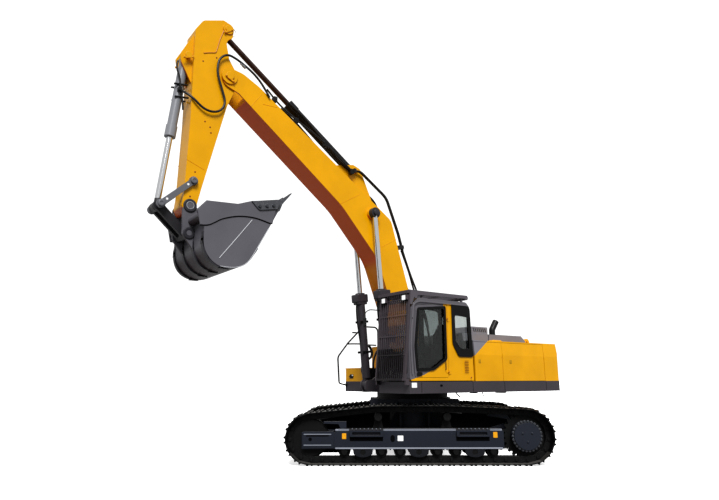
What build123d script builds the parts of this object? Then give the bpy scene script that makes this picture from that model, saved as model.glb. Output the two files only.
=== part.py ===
from build123d import *
from math import asin, atan2, cos, degrees, hypot, pi, radians, sin
import os

# Crawler excavator of the 46 to 47 tonne class, in millimetres.
# The frame is that of the revolving upper structure: +X is forward (boom and cab), +Y is left (the
# cab's side), +Z is up. The origin is on the slewing axis at ground level.

os.makedirs("parts", exist_ok=True)

# Undercarriage, modelled straight and turned about the slewing axis when it is written
slew_rest = -36.5  # heading of the undercarriage, seen from the upper structure
track_gauge = 2740
shoe_width = 600
idler_x = 2170
sprocket_x = -2160
idler_tip_radius = 520  # to the tips of the grousers
sprocket_tip_radius = 557
carrier_x = (800, -600)
carrier_top = 1182  # height of the grouser tips over the carrier rollers
grouser_height = 28
shoe_thickness = 14
link_half_height = 62
shoe_count = 53
chain_gap = 90  # clear width between the two strands of the chain
strand_width = 48
frame_half = 230  # half width of a track frame, about the track's centre line
frame_bottom = 340
frame_top = 690
frame_front = 1655
frame_rear = -1690
roller_count = 9
roller_pitch = 370
ring_radius = 800
pedestal_top = 1258
ring_gap = 0.5
lug_x = 800  # bore of the tie-down lugs
lug_z = 640

# Upper structure
deck_bottom = 1391
deck_top = 1624
deck_half = 1500
deck_front = 1342  # front edge of the cab's platform
toolbox_front = 822
center_front = 800
tail_radius = 3706
weight_seam = -2864
house_top = 2502
crease_z = 2190  # the sides lean inward above this height
side_slope = 0.11
sheet = 30
plate_inner = 285  # inner face of the plates that carry the boom
plate_thick = 50
engine_seat = 1730
outer_ear_inner = 459
outer_ear_thick = 40

# Side doors of the engine house: name, rear edge x, front edge x, side
door_thick = 40
side_doors = (
    ("left_front_door", -1398, -520, 1),
    ("left_rear_door", -2858, -1404, 1),
    ("pump_door", -2858, -1408, -1),
)
pivot_inset = 12  # from the door's rear edge and its outer face
pivot_radius = 6
pivot_z = 2140  # upper pivots

# Cab
cab_inner = 525
cab_outer = 1480
cab_wall = 50
cab_rear = -488
cab_floor = 1640
cab_top = 3310
door_rear = 250
door_gap = 8
door_axis = (254, 1494)  # x, y of the cab door's hinge pins
guard_lamp_y = (710, 1400)
door_hinge_z = (1816, 2913)

# Pins of the boom, arm and bucket in side view (x, z), as parked
foot_pin = (180, 2250)
arm_pin = (4860, 7610)
bucket_pin = (5510, 4800)
boom_base_pin = (987, 1554)
boom_rod_pin = (1330, 5320)
arm_base_pin = (1680, 6310)
arm_rod_pin = (4920, 8660)
bucket_base_pin = (5690, 7830)
link_pin = (6030, 4765)
side_link_pin = (5460, 5295)
h_link_pin = (5500, 4280)

# Widths of the boom, arm, bucket and cylinders
boom_half = 275
boom_plate = 16
fork_inner = 245
arm_half = 235
arm_plate = 14
bucket_half = 800
bucket_plate = 30
ear_inner = 245
ear_thick = 55
pin_play = 0.1  # radial running clearance of each pin
side_gap = 7  # axial gap beside each moving eye
boom_cylinder_y = 397
boom_eye_half = 50
barrel_radius = 95
rod_radius = 58
base_eye_half = 100
rod_eye_half = 68
ear_slot_half = 107
ear_plate = 40
arm_barrel_radius = 100
bucket_barrel_radius = 92
main_pin_radius = 60
small_pin_radius = 50


def lean(z):
    """How far the side panels lean inward at a height."""
    return max(0, z - crease_z) * side_slope


def side(y):
    """Side view at y: sketch x runs forward, sketch y up, and a positive extrusion runs to the right."""
    return Plane.XZ.offset(-y)


def step(origin, toward, along):
    """Point in side view at a distance from origin on the line toward another point."""
    run = hypot(toward[0] - origin[0], toward[1] - origin[1])
    return (
        origin[0] + (toward[0] - origin[0]) * along / run,
        origin[1] + (toward[1] - origin[1]) * along / run,
    )


def axis_plane(origin, toward, y=0):
    """Plane at origin whose normal runs along a cylinder, from origin toward its other pin."""
    way = (toward[0] - origin[0], 0, toward[1] - origin[1])
    return Plane(origin=(origin[0], y, origin[1]), x_dir=(0, 1, 0), z_dir=way)


def write(piece, name, turn=0):
    """Label a finished piece, turn it about the slewing axis and write its STEP file."""
    if turn:
        piece.part = piece.part.rotate(Axis.Z, turn)
    piece.part.label = name
    export_step(piece.part, f"parts/{name}.step")


# Track loops: shoes and chain follow the line through the chain's pins
pin_depth = grouser_height + shoe_thickness + link_half_height
idler_pitch_radius = idler_tip_radius - pin_depth
sprocket_pitch_radius = sprocket_tip_radius - pin_depth
carrier_pitch_radius = 150
carrier_pitch_z = carrier_top - pin_depth - carrier_pitch_radius

# Wheels that the pin line wraps, in order: x, z, radius
track_wheels = [
    (sprocket_x, sprocket_tip_radius, sprocket_pitch_radius),
    (carrier_x[1], carrier_pitch_z, carrier_pitch_radius),
    (carrier_x[0], carrier_pitch_z, carrier_pitch_radius),
    (idler_x, idler_tip_radius, idler_pitch_radius),
]


def wrap_line(wheels):
    """Runs and arcs of a belt round wheels, clockwise: (start, end) and (centre, radius, from, turn)."""
    count = len(wheels)
    leave = []
    for index in range(count):
        x0, z0, r0 = wheels[index]
        x1, z1, r1 = wheels[(index + 1) % count]
        heading = atan2(z1 - z0, x1 - x0)
        lean = asin((r0 - r1) / hypot(x1 - x0, z1 - z0))
        leave.append(heading + pi / 2 - lean)
    pieces = []
    for index in range(count):
        x0, z0, r0 = wheels[index]
        arrive = leave[index - 1]
        turn = (arrive - leave[index]) % (2 * pi)
        pieces.append(("arc", (x0, z0), r0, arrive, turn))
        x1, z1, r1 = wheels[(index + 1) % count]
        normal = (cos(leave[index]), sin(leave[index]))
        start = (x0 + r0 * normal[0], z0 + r0 * normal[1])
        end = (x1 + r1 * normal[0], z1 + r1 * normal[1])
        pieces.append(("run", start, end, leave[index], hypot(end[0] - start[0], end[1] - start[1])))
    return pieces


track_line = wrap_line(track_wheels)
line_length = sum(piece[4] * (piece[2] if piece[0] == "arc" else 1) for piece in track_line)
shoe_pitch = line_length / shoe_count


def line_point(distance, outward):
    """Point on the track at a distance along the pin line, moved outward from it."""
    distance = distance % line_length
    for piece in track_line:
        span = piece[4] * (piece[2] if piece[0] == "arc" else 1)
        if distance <= span or piece is track_line[-1]:
            break
        distance -= span
    if piece[0] == "arc":
        angle = piece[3] - distance / piece[2]
        radius = piece[2] + outward
        return (piece[1][0] + radius * cos(angle), piece[1][1] + radius * sin(angle))
    share = distance / piece[4]
    x = piece[1][0] + (piece[2][0] - piece[1][0]) * share + outward * cos(piece[3])
    z = piece[1][1] + (piece[2][1] - piece[1][1]) * share + outward * sin(piece[3])
    return (x, z)


# Outline of one shoe: share of the pitch along the pin line, distance outward
tip = pin_depth
plate_face = pin_depth - grouser_height
shoe_outline = [
    (0.02, plate_face),
    (0.07, tip),
    (0.14, tip),
    (0.20, plate_face),
    (0.62, plate_face),
    (0.68, tip),
    (0.76, tip),
    (0.82, plate_face),
]
shoe_points = []
shoe_inside = []
for shoe in range(shoe_count):
    for share, outward in shoe_outline:
        shoe_points.append(line_point((shoe + share) * shoe_pitch, outward))
    shoe_inside.append(line_point(shoe * shoe_pitch, link_half_height))
chain_outside = [line_point(shoe * shoe_pitch, link_half_height + 1) for shoe in range(shoe_count)]
chain_inside = [line_point((n + 0.5) * shoe_pitch / 2, -link_half_height) for n in range(2 * shoe_count)]

for name, center in (("track_loop_left", track_gauge / 2), ("track_loop_right", -track_gauge / 2)):
    with BuildPart() as track_loop:
        with BuildSketch(side(center + shoe_width / 2)):
            with BuildLine():
                Polyline(*shoe_points, close=True)
            make_face()
            with BuildLine():
                Polyline(*shoe_inside, close=True)
            make_face(mode=Mode.SUBTRACT)
        extrude(amount=shoe_width)
        for strand in (chain_gap / 2 + strand_width, -chain_gap / 2):
            with BuildSketch(side(center + strand)):
                with BuildLine():
                    Polyline(*chain_outside, close=True)
                make_face()
                with BuildLine():
                    Polyline(*chain_inside, close=True)
                make_face(mode=Mode.SUBTRACT)
            extrude(amount=strand_width)
    write(track_loop, name, slew_rest)

# Idlers: a rim between the strands and a tread on each side of it
rail_radius = idler_pitch_radius - link_half_height
wheel_half = chain_gap / 2 + strand_width
with BuildPart() as idlers:
    for center in (track_gauge / 2, -track_gauge / 2):
        with BuildSketch(side(center + wheel_half)):
            with Locations((idler_x, idler_tip_radius)):
                Circle(rail_radius - 4)
        extrude(amount=2 * wheel_half)
        with BuildSketch(side(center + chain_gap / 2 - 4)):
            with Locations((idler_x, idler_tip_radius)):
                Circle(rail_radius + 26)
        extrude(amount=chain_gap - 8)
        with BuildSketch(side(center + frame_half - 62)):
            with Locations((idler_x, idler_tip_radius)):
                Circle(95)
        extrude(amount=2 * (frame_half - 62))
write(idlers, "idlers", slew_rest)

# Sprockets: a toothed ring between the strands, on the final drive
tooth_count = 2 * round(pi / asin(shoe_pitch / (2 * sprocket_pitch_radius)))
tooth_root = sprocket_pitch_radius - 46
tooth_tip = sprocket_pitch_radius + 8
with BuildPart() as sprockets:
    for center in (track_gauge / 2, -track_gauge / 2):
        with BuildSketch(side(center + 32)):
            with Locations((sprocket_x, sprocket_tip_radius)):
                Circle(tooth_root)
            with Locations((sprocket_x, sprocket_tip_radius)):
                with PolarLocations(tooth_root - 10, tooth_count):
                    Polygon((0, -38), (64, -14), (64, 14), (0, 38), align=None)
            with Locations((sprocket_x, sprocket_tip_radius)):
                Circle(230, mode=Mode.SUBTRACT)
        extrude(amount=64)
write(sprockets, "sprockets", slew_rest)

# Final drives: the drum in the sprocket and the cover that faces outward
with BuildPart() as final_drives:
    for center, outward in ((track_gauge / 2, 1), (-track_gauge / 2, -1)):
        # Drum steps: radius, from and to, measured outward from the track's centre line
        for radius, start, end in ((229, -150, 60), (292, 40, 200), (262, 200, 236), (290, -226, -150)):
            low = min(center + outward * start, center + outward * end)
            high = max(center + outward * start, center + outward * end)
            with BuildSketch(side(high)):
                with Locations((sprocket_x, sprocket_tip_radius)):
                    Circle(radius)
            extrude(amount=high - low)
write(final_drives, "final_drives", slew_rest)

# Bottom rollers run on the chain's rails, with flanges outside the strands
rail_top = idler_tip_radius - idler_pitch_radius + link_half_height
roller_tread = 96
roller_z = rail_top + roller_tread + 0.5
with BuildPart() as bottom_rollers:
    for center in (track_gauge / 2, -track_gauge / 2):
        for index in range(roller_count):
            place = (roller_pitch * (index - (roller_count - 1) / 2), roller_z)
            # Roller steps: radius, half width
            for radius, half in ((roller_tread, wheel_half), (55, frame_half - 8)):
                with BuildSketch(side(center + half)):
                    with Locations(place):
                        Circle(radius)
                extrude(amount=2 * half)
            for low in (center + wheel_half + 2, center - wheel_half - 24):
                with BuildSketch(side(low + 22)):
                    with Locations(place):
                        Circle(roller_tread + 22)
                        Circle(55, mode=Mode.SUBTRACT)
                extrude(amount=22)
            for low in (center + wheel_half - 1, center - wheel_half - 3):
                with BuildSketch(side(low + 4)):
                    with Locations(place):
                        Circle(roller_tread - 4)
                extrude(amount=4)
            for low in (center + frame_half - 48, center - frame_half + 20):
                with BuildSketch(side(low + 28)):
                    with Locations((place[0], (roller_z + frame_bottom) / 2)):
                        Rectangle(130, frame_bottom - roller_z - 0.4)
                extrude(amount=28)
write(bottom_rollers, "bottom_rollers", slew_rest)

# Carrier rollers on stands that rise from the track frames
carrier_radius = carrier_pitch_radius - link_half_height - 8
with BuildPart() as carrier_rollers:
    for center, outward in ((track_gauge / 2, 1), (-track_gauge / 2, -1)):
        for x in carrier_x:
            with BuildSketch(side(center + wheel_half)):
                with Locations((x, carrier_pitch_z)):
                    Circle(carrier_radius)
            extrude(amount=2 * wheel_half)
            reach = sorted((center - outward * wheel_half, center - outward * (frame_half - 20)))
            with BuildSketch(side(reach[1])):
                with Locations((x, carrier_pitch_z)):
                    Circle(45)
                with BuildLine():
                    Polyline(
                        (x - 110, frame_top),
                        (x + 110, frame_top),
                        (x + 50, carrier_pitch_z + 30),
                        (x - 50, carrier_pitch_z + 30),
                        close=True,
                    )
                make_face()
            extrude(amount=reach[1] - reach[0])
write(carrier_rollers, "carrier_rollers", slew_rest)

# Track frames: box beam, idler yoke in front, drive bracket behind and two steps outside
with BuildPart() as track_frames:
    for center, outward in ((track_gauge / 2, 1), (-track_gauge / 2, -1)):
        with BuildSketch(side(center + frame_half)):
            with BuildLine():
                Polyline(
                    (frame_rear, frame_bottom),
                    (frame_front, frame_bottom),
                    (frame_front, frame_top - 30),
                    (frame_front - 60, frame_top),
                    (frame_rear + 60, frame_top),
                    (frame_rear, frame_top - 30),
                    close=True,
                )
            make_face()
        extrude(amount=2 * frame_half)
        with BuildSketch(side(center + frame_half - 70)):
            with BuildLine():
                Polyline(
                    (frame_rear - 1, frame_bottom - 1),
                    (frame_rear - 1, frame_top - 60),
                    (frame_rear + 150, frame_top - 60),
                    (frame_rear + 150, roller_z + roller_tread + 40),
                    (frame_front - 150, roller_z + roller_tread + 40),
                    (frame_front - 150, frame_top - 60),
                    (frame_front + 1, frame_top - 60),
                    (frame_front + 1, frame_bottom - 1),
                    close=True,
                )
            make_face()
        extrude(amount=2 * frame_half - 140, mode=Mode.SUBTRACT)
        # Yoke plates beside the idler: low y side of each
        for low in (center + wheel_half + 60, center - frame_half):
            with BuildSketch(side(low + frame_half - wheel_half - 60)):
                with BuildLine():
                    Polyline(
                        (frame_front - 5, frame_bottom - 18),
                        (2330, frame_bottom - 18),
                        (2330, 640),
                        (frame_front - 5, 640),
                        close=True,
                    )
                make_face()
                with Locations((idler_x, idler_tip_radius)):
                    Circle(96, mode=Mode.SUBTRACT)
            extrude(amount=frame_half - wheel_half - 60)
        # Drive bracket on the inner side, round the final drive
        inner = center - outward * frame_half
        band = sorted((inner, inner + outward * 60))
        with BuildSketch(side(band[1])):
            with BuildLine():
                Polyline(
                    (frame_rear + 5, frame_bottom),
                    (frame_rear + 200, frame_top),
                    (sprocket_x, sprocket_tip_radius + 340),
                    (sprocket_x, sprocket_tip_radius - 330),
                    close=True,
                )
            make_face()
            with Locations((sprocket_x, sprocket_tip_radius)):
                Circle(340)
            with Locations((sprocket_x, sprocket_tip_radius)):
                Circle(291, mode=Mode.SUBTRACT)
        extrude(amount=band[1] - band[0])
        # Steps: x from and to
        for x0, x1 in ((705, 1375), (-1408, -752)):
            step_band = sorted((center + outward * (frame_half - 1), center + outward * (frame_half + 62)))
            with BuildSketch(side(step_band[1])):
                with Locations(((x0 + x1) / 2, 617)):
                    RectangleRounded(x1 - x0, 125, 30)
                    RectangleRounded(x1 - x0 - 110, 60, 15, mode=Mode.SUBTRACT)
            extrude(amount=step_band[1] - step_band[0])
write(track_frames, "track_frames", slew_rest)

# Roller guards: plates with a round lower edge, hung from the frames beside three of the rollers
guard_x = (3 * roller_pitch, 0, -3 * roller_pitch)
guard_half = 205
with BuildPart() as roller_guards:
    for center in (track_gauge / 2, -track_gauge / 2):
        for low in (center + frame_half - 18, center - frame_half):
            for x in guard_x:
                with BuildSketch(side(low + 18)):
                    with BuildLine():
                        Polyline(
                            (x - guard_half + 20, roller_z - 40),
                            (x - guard_half, frame_bottom - 0.3),
                            (x + guard_half, frame_bottom - 0.3),
                            (x + guard_half - 20, roller_z - 40),
                        )
                        ThreePointArc(
                            (x + guard_half - 20, roller_z - 40),
                            (x, roller_z - 100),
                            (x - guard_half + 20, roller_z - 40),
                        )
                    make_face()
                    for index in range(roller_count):
                        with Locations((roller_pitch * (index - (roller_count - 1) / 2), roller_z)):
                            Circle(55.3, mode=Mode.SUBTRACT)
                extrude(amount=18)
write(roller_guards, "roller_guards", slew_rest)

# Carbody: four sloping legs under a round pedestal
leg_reach = track_gauge / 2 - frame_half
with BuildPart() as carbody:
    with BuildSketch(Plane.XY.offset(420)):
        with BuildLine():
            Polyline(
                (1150, leg_reach),
                (650, leg_reach),
                (330, 640),
                (-330, 640),
                (-650, leg_reach),
                (-1150, leg_reach),
                (-640, 0),
                (-1150, -leg_reach),
                (-650, -leg_reach),
                (-330, -640),
                (330, -640),
                (650, -leg_reach),
                (1150, -leg_reach),
                (640, 0),
                close=True,
            )
        make_face()
        with Locations((0, 0)):
            Circle(700)
    extrude(amount=pedestal_top - 420)
    with BuildSketch(Plane.YZ.offset(-1300)):
        with BuildLine():
            Polyline(
                (-leg_reach, 430),
                (-leg_reach, 660),
                (-700, 1040),
                (-700, pedestal_top),
                (700, pedestal_top),
                (700, 1040),
                (leg_reach, 660),
                (leg_reach, 430),
                (500, 560),
                (-500, 560),
                close=True,
            )
        make_face()
    extrude(amount=2600, mode=Mode.INTERSECT)
    with BuildSketch(Plane.XY.offset(pedestal_top - 60)):
        Circle(ring_radius - 20)
    extrude(amount=60)
    with BuildSketch(Plane.XY.offset(500)):
        Circle(330)
    extrude(amount=pedestal_top - 500, mode=Mode.SUBTRACT)
    # Tie-down lugs, front and rear: flat plates with an upright bore
    for way in (1, -1):
        with BuildSketch(Plane.XY.offset(lug_z)):
            with Locations((way * (lug_x - 120), 0)):
                Rectangle(240, 180)
            with Locations((way * lug_x, 0)):
                Circle(90)
                Circle(36, mode=Mode.SUBTRACT)
        extrude(amount=60)
write(carbody, "carbody", slew_rest)

# Slewing ring: the race that turns with the upper structure
with BuildPart() as slew_ring:
    with BuildSketch(Plane.XY.offset(pedestal_top + ring_gap)):
        Circle(ring_radius)
        Circle(ring_radius - 130, mode=Mode.SUBTRACT)
    extrude(amount=deck_bottom - pedestal_top - ring_gap - 0.3)
write(slew_ring, "slew_ring")

# Deck: platform with skirts, and the two plates that carry the boom
tail_corner = (tail_radius**2 - deck_half**2) ** 0.5
with BuildPart() as deck:
    with BuildSketch(Plane.XY.offset(deck_bottom)) as deck_plan:
        with BuildLine():
            Polyline(
                (-tail_corner, deck_half),
                (deck_front, deck_half),
                (deck_front, 520),
                (center_front, 520),
                (center_front, -590),
                (toolbox_front, -590),
                (toolbox_front, -deck_half),
                (-tail_corner, -deck_half),
            )
            ThreePointArc((-tail_corner, -deck_half), (-tail_radius, 0), (-tail_corner, deck_half))
        make_face()
    extrude(amount=deck_top - deck_bottom)
    # Hollows under the deck: x from, x to, y from, y to
    for x0, x1, y0, y1 in (
        (-3250, -900, 560, 1470),
        (-900, 1300, 840, 1470),
        (-3250, -900, -1470, -560),
        (-900, 790, -1470, -840),
        (-3250, -900, -250, 250),
    ):
        with BuildSketch(Plane.XY.offset(deck_bottom)):
            with Locations(((x0 + x1) / 2, (y0 + y1) / 2)):
                Rectangle(x1 - x0, y1 - y0)
        extrude(amount=deck_top - deck_bottom - 24, mode=Mode.SUBTRACT)
    for low in (plate_inner, -plate_inner - plate_thick):
        with BuildSketch(side(low + plate_thick)):
            with BuildLine():
                FilletPolyline(
                    (-2815, deck_top - 20),
                    (-2815, engine_seat),
                    (-1250, engine_seat),
                    (-120, 2480),
                    (400, 2440),
                    (770, 1755),
                    (900, 1668),
                    (1110, 1640),
                    (1100, deck_bottom + 20),
                    (300, deck_bottom + 20),
                    (300, deck_top - 20),
                    radius=[0, 30, 300, 180, 150, 200, 60, 90, 60, 0, 0],
                    close=True,
                )
            make_face()
        extrude(amount=plate_thick)
    for low in (outer_ear_inner, -outer_ear_inner - outer_ear_thick):
        with BuildSketch(side(low + outer_ear_thick)):
            with BuildLine():
                FilletPolyline(
                    (center_front - 40, deck_bottom),
                    (center_front - 40, deck_top),
                    (center_front + 60, deck_top + 40),
                    (1110, deck_top + 40),
                    (1110, deck_bottom),
                    radius=[0, 0, 40, 110, 110],
                    close=True,
                )
            make_face()
        extrude(amount=outer_ear_thick)
    for name, x0, x1, way in side_doors:
        with BuildSketch(Plane.XY.offset(deck_top - 1)):
            with Locations((x0 + pivot_inset, way * (deck_half - pivot_inset))):
                Circle(pivot_radius)
        extrude(amount=30)
    # Pins: place, radius, y from, y to
    for place, radius, y0, y1 in (
        (foot_pin, main_pin_radius + 10, -plate_inner - 80, plate_inner + 80),
        (boom_base_pin, small_pin_radius + 5, plate_inner, outer_ear_inner + 60),
        (boom_base_pin, small_pin_radius + 5, -outer_ear_inner - 60, -plate_inner),
    ):
        with BuildSketch(side(y1)):
            with Locations(place):
                Circle(radius)
        extrude(amount=y1 - y0)
write(deck, "deck")

# Counterweight: cast block with a round back
with BuildPart() as counterweight:
    with BuildSketch(Plane.XY.offset(deck_top + 0.3)):
        with BuildLine():
            Polyline(
                (-tail_corner, deck_half),
                (weight_seam - 4, deck_half),
                (weight_seam - 4, -deck_half),
                (-tail_corner, -deck_half),
            )
            ThreePointArc((-tail_corner, -deck_half), (-tail_radius, 0), (-tail_corner, deck_half))
        make_face()
    extrude(amount=house_top - deck_top - 0.3)
    edges_back = counterweight.edges().filter_by(Axis.Z).sort_by(Axis.X)[:2]
    fillet(edges_back, 60)
    for way in (1, -1):
        with BuildSketch(Plane.YZ.offset(-tail_radius)):
            with BuildLine():
                Polyline(
                    (way * deck_half, crease_z),
                    (way * (deck_half + 5), crease_z),
                    (way * (deck_half + 5), house_top + 5),
                    (way * (deck_half - lean(house_top + 5)), house_top + 5),
                    close=True,
                )
            make_face()
        extrude(amount=tail_radius + weight_seam + 5, mode=Mode.SUBTRACT)
    with BuildSketch(Plane.XZ):
        with BuildLine():
            Polyline(
                (tail_radius, crease_z),
                (tail_radius + 5, crease_z),
                (tail_radius + 5, house_top + 5),
                (tail_radius - lean(house_top + 5), house_top + 5),
                close=True,
            )
        make_face()
    revolve(axis=Axis.Z, mode=Mode.SUBTRACT)
    for y in (-760, 760):
        with BuildSketch(side(y + 30)):
            with BuildLine():
                Polyline((-3250, house_top - 5), (-3050, house_top - 5), (-3050, 2560), (-3250, 2560), close=True)
            make_face()
            with Locations((-3150, 2560)):
                Circle(100)
                Circle(35, mode=Mode.SUBTRACT)
        extrude(amount=60)
write(counterweight, "counterweight")

# Engine: one plain block on the deck
with BuildPart() as engine:
    with BuildSketch(Plane.XY.offset(engine_seat + 0.3)):
        with Locations((-2150, 0)):
            Rectangle(1150, 900)
    extrude(amount=720)
write(engine, "engine")

# Engine house: end walls, posts and roof sheet, open at its doors and under the hood
house_front = cab_rear - 26
house_rear = weight_seam + 4
house_half = deck_half - door_thick - door_gap - lean(house_top)
roof_half = deck_half - lean(house_top)
tank_rear = -1400
hood_front = -1500
hood_rear = -2780
hood_half = 1040
hood_top = 2690
hood_hinge = (-1481, 2676)  # x, z
hood_hinge_y = (-450, 850)
block_front = -620
intake_rear = -1462
intake_front = -930
intake_top = 2850
louvre_count = 7
with BuildPart() as engine_house:
    with BuildSketch(Plane.XY.offset(deck_top + 0.3)) as house_plan:
        with BuildLine():
            Polyline(
                (house_front, house_half),
                (house_rear, house_half),
                (house_rear, -house_half),
                (tank_rear - 5, -house_half),
                (tank_rear - 5, -620),
                (house_front, -620),
                close=True,
            )
        make_face()
        offset(house_plan.sketch, amount=-sheet, mode=Mode.SUBTRACT)
    extrude(amount=house_top - deck_top - 0.6)
    with BuildSketch(Plane.XY.offset(house_top - sheet)):
        with BuildLine():
            Polyline(
                (house_front, roof_half),
                (house_rear, roof_half),
                (house_rear, -roof_half),
                (tank_rear - 5, -roof_half),
                (tank_rear - 5, -620),
                (house_front, -620),
                close=True,
            )
        make_face()
        with Locations(((hood_front + hood_rear) / 2, 0)):
            Rectangle(hood_front - hood_rear - 80, 2 * hood_half - 80, mode=Mode.SUBTRACT)
    extrude(amount=sheet)
    with BuildSketch(Plane.XY.offset(deck_top)):
        with Locations((house_front, 0)):
            Rectangle(200, 2 * (plate_inner + plate_thick + 6))
    extrude(amount=house_top - deck_top - sheet - 40, mode=Mode.SUBTRACT)
    # Door openings: x from, x to, side
    for x0, x1, way in ((-1340, -580, 1), (-2800, -1460, 1), (-2800, -1460, -1)):
        with BuildSketch(side(house_half + 10 if way > 0 else -house_half + sheet + 10)):
            with Locations(((x0 + x1) / 2, (deck_top + house_top) / 2)):
                Rectangle(x1 - x0, house_top - deck_top - 140)
        extrude(amount=sheet + 20, mode=Mode.SUBTRACT)
    # Upper pivots of the side doors: a bracket from the wall with a pin through it
    for name, x0, x1, way in side_doors:
        pivot = (x0 + pivot_inset, way * (deck_half - pivot_inset))
        reach = deck_half - pivot_inset - house_half + 10
        with BuildSketch(Plane.XY.offset(pivot_z - 4)):
            with Locations((pivot[0], pivot[1] - way * reach / 2)):
                Rectangle(20, reach)
            with Locations(pivot):
                Circle(10)
        extrude(amount=8)
        with BuildSketch(Plane.XY.offset(pivot_z - 24)):
            with Locations(pivot):
                Circle(pivot_radius)
        extrude(amount=48)
    # Raised block in front of the hood, with the louvred air intake on its left end
    with BuildSketch(side(hood_half)):
        with BuildLine():
            Polyline(
                (intake_rear, house_top - 1),
                (intake_rear, hood_top),
                (block_front, hood_top),
                (block_front - 40, house_top - 1),
                close=True,
            )
        make_face()
    extrude(amount=hood_half + 600)
    with BuildSketch(side(hood_half - 6)):
        with BuildLine():
            Polyline(
                (intake_rear, hood_top - 1),
                (intake_rear, intake_top - 12),
                (intake_rear + 12, intake_top),
                (intake_front - 12, intake_top),
                (intake_front, intake_top - 12),
                (intake_front, hood_top - 1),
                close=True,
            )
        make_face()
    extrude(amount=hood_half - 6 - 380)
    louvre_pitch = (intake_front - intake_rear - 90) / louvre_count
    for way, face in ((1, hood_half - 5), (-1, 380 + 30)):
        with BuildSketch(side(face)):
            for index in range(louvre_count):
                x = intake_rear + 45 + (index + 0.5) * louvre_pitch
                with Locations((x, (hood_top + intake_top) / 2 + 4)):
                    Polygon((-34, -44), (-2, -44), (34, 44), (2, 44), align=None)
        extrude(amount=31, mode=Mode.SUBTRACT)
    # Hinge lugs of the hood, with their pins
    for y in hood_hinge_y:
        with BuildSketch(side(y + 12)):
            with Locations(hood_hinge):
                Circle(14)
            with Locations(((hood_hinge[0] + intake_rear + 2) / 2, hood_hinge[1])):
                Rectangle(intake_rear + 2 - hood_hinge[0], 28)
        extrude(amount=24)
        with BuildSketch(side(y + 32)):
            with Locations(hood_hinge):
                Circle(8)
        extrude(amount=64)
write(engine_house, "engine_house")

# Side doors turn on pivot pins at the top and bottom of their rear edges
for name, x0, x1, way in side_doors:
    with BuildPart() as side_door:
        door_top = house_top - sheet - 6
        door_depth = door_thick + lean(door_top)
        with BuildSketch(Plane.XY.offset(deck_top + 6)):
            with Locations(((x0 + x1) / 2, way * (deck_half - door_depth / 2))):
                Rectangle(x1 - x0, door_depth)
        extrude(amount=door_top - deck_top - 6)
        outer_edges = side_door.edges().filter_by(Axis.Z).sort_by(Axis.X)[:2].sort_by(Axis.Y)
        fillet(outer_edges[-1 if way > 0 else 0], pivot_inset)
        # Cut to the crease: outside above it, inside below it
        with BuildSketch(Plane.YZ.offset(x0 - 1)):
            with BuildLine():
                Polyline(
                    (way * deck_half, crease_z),
                    (way * (deck_half + 5), crease_z),
                    (way * (deck_half + 5), house_top),
                    (way * (deck_half - lean(house_top)), house_top),
                    close=True,
                )
            make_face()
            with BuildLine():
                Polyline(
                    (way * (deck_half - door_thick), deck_top),
                    (way * (deck_half - door_thick), crease_z),
                    (way * (deck_half - door_thick - lean(house_top)), house_top),
                    (way * (deck_half - door_depth - 9), house_top),
                    (way * (deck_half - door_depth - 9), deck_top),
                    close=True,
                )
            make_face()
        extrude(amount=x1 - x0 + 2, mode=Mode.SUBTRACT)
        # Bores for the pins, and the slot that the upper bracket turns in
        for z in (deck_top, pivot_z - 30):
            with BuildSketch(Plane.XY.offset(z)):
                with Locations((x0 + pivot_inset, way * (deck_half - pivot_inset))):
                    Circle(pivot_radius + pin_play)
            extrude(amount=60 if z > deck_top else 40, mode=Mode.SUBTRACT)
        with BuildSketch(Plane.XY.offset(pivot_z - 9)):
            with Locations((x0 + 12, way * (deck_half - door_depth / 2))):
                Rectangle(28, door_depth + 10)
        extrude(amount=18, mode=Mode.SUBTRACT)
    write(side_door, name)

# Engine hood: raised lid with a sloping rear end
with BuildPart() as engine_hood:
    with BuildSketch(side(hood_half)):
        with BuildLine():
            Polyline(
                (hood_front, house_top + 0.3),
                (hood_front, hood_top),
                (hood_rear + 150, hood_top),
                (hood_rear, 2570),
                (hood_rear, house_top + 0.3),
                close=True,
            )
        make_face()
    extrude(amount=2 * hood_half)
    with BuildSketch(side(hood_half - 20)):
        with BuildLine():
            Polyline(
                (hood_front - 20, house_top),
                (hood_front - 20, hood_top - 20),
                (hood_rear + 155, hood_top - 20),
                (hood_rear + 20, 2560),
                (hood_rear + 20, house_top),
                close=True,
            )
        make_face()
    extrude(amount=2 * hood_half - 40, mode=Mode.SUBTRACT)
    # Hinge ears on both sides of each lug
    for y in hood_hinge_y:
        for low in (y + 14, y - 30):
            with BuildSketch(side(low + 16)):
                with Locations(hood_hinge):
                    Circle(14)
                with Locations(((hood_hinge[0] + hood_front - 2) / 2, hood_hinge[1])):
                    Rectangle(hood_hinge[0] - hood_front + 2, 28)
                with Locations(hood_hinge):
                    Circle(8 + pin_play, mode=Mode.SUBTRACT)
            extrude(amount=16)
write(engine_hood, "engine_hood")

# Hydraulic and fuel tanks on the right side: x from, x to, top
with BuildPart() as tanks:
    for x0, x1, top in ((tank_rear, -760, house_top), (-755, 40, house_top - 40)):
        with BuildSketch(Plane.XY.offset(deck_top + 0.3)):
            with Locations(((x0 + x1) / 2, -1060)):
                RectangleRounded(x1 - x0, 870, 40)
        extrude(amount=top - deck_top - 0.3)
write(tanks, "tanks")

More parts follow.
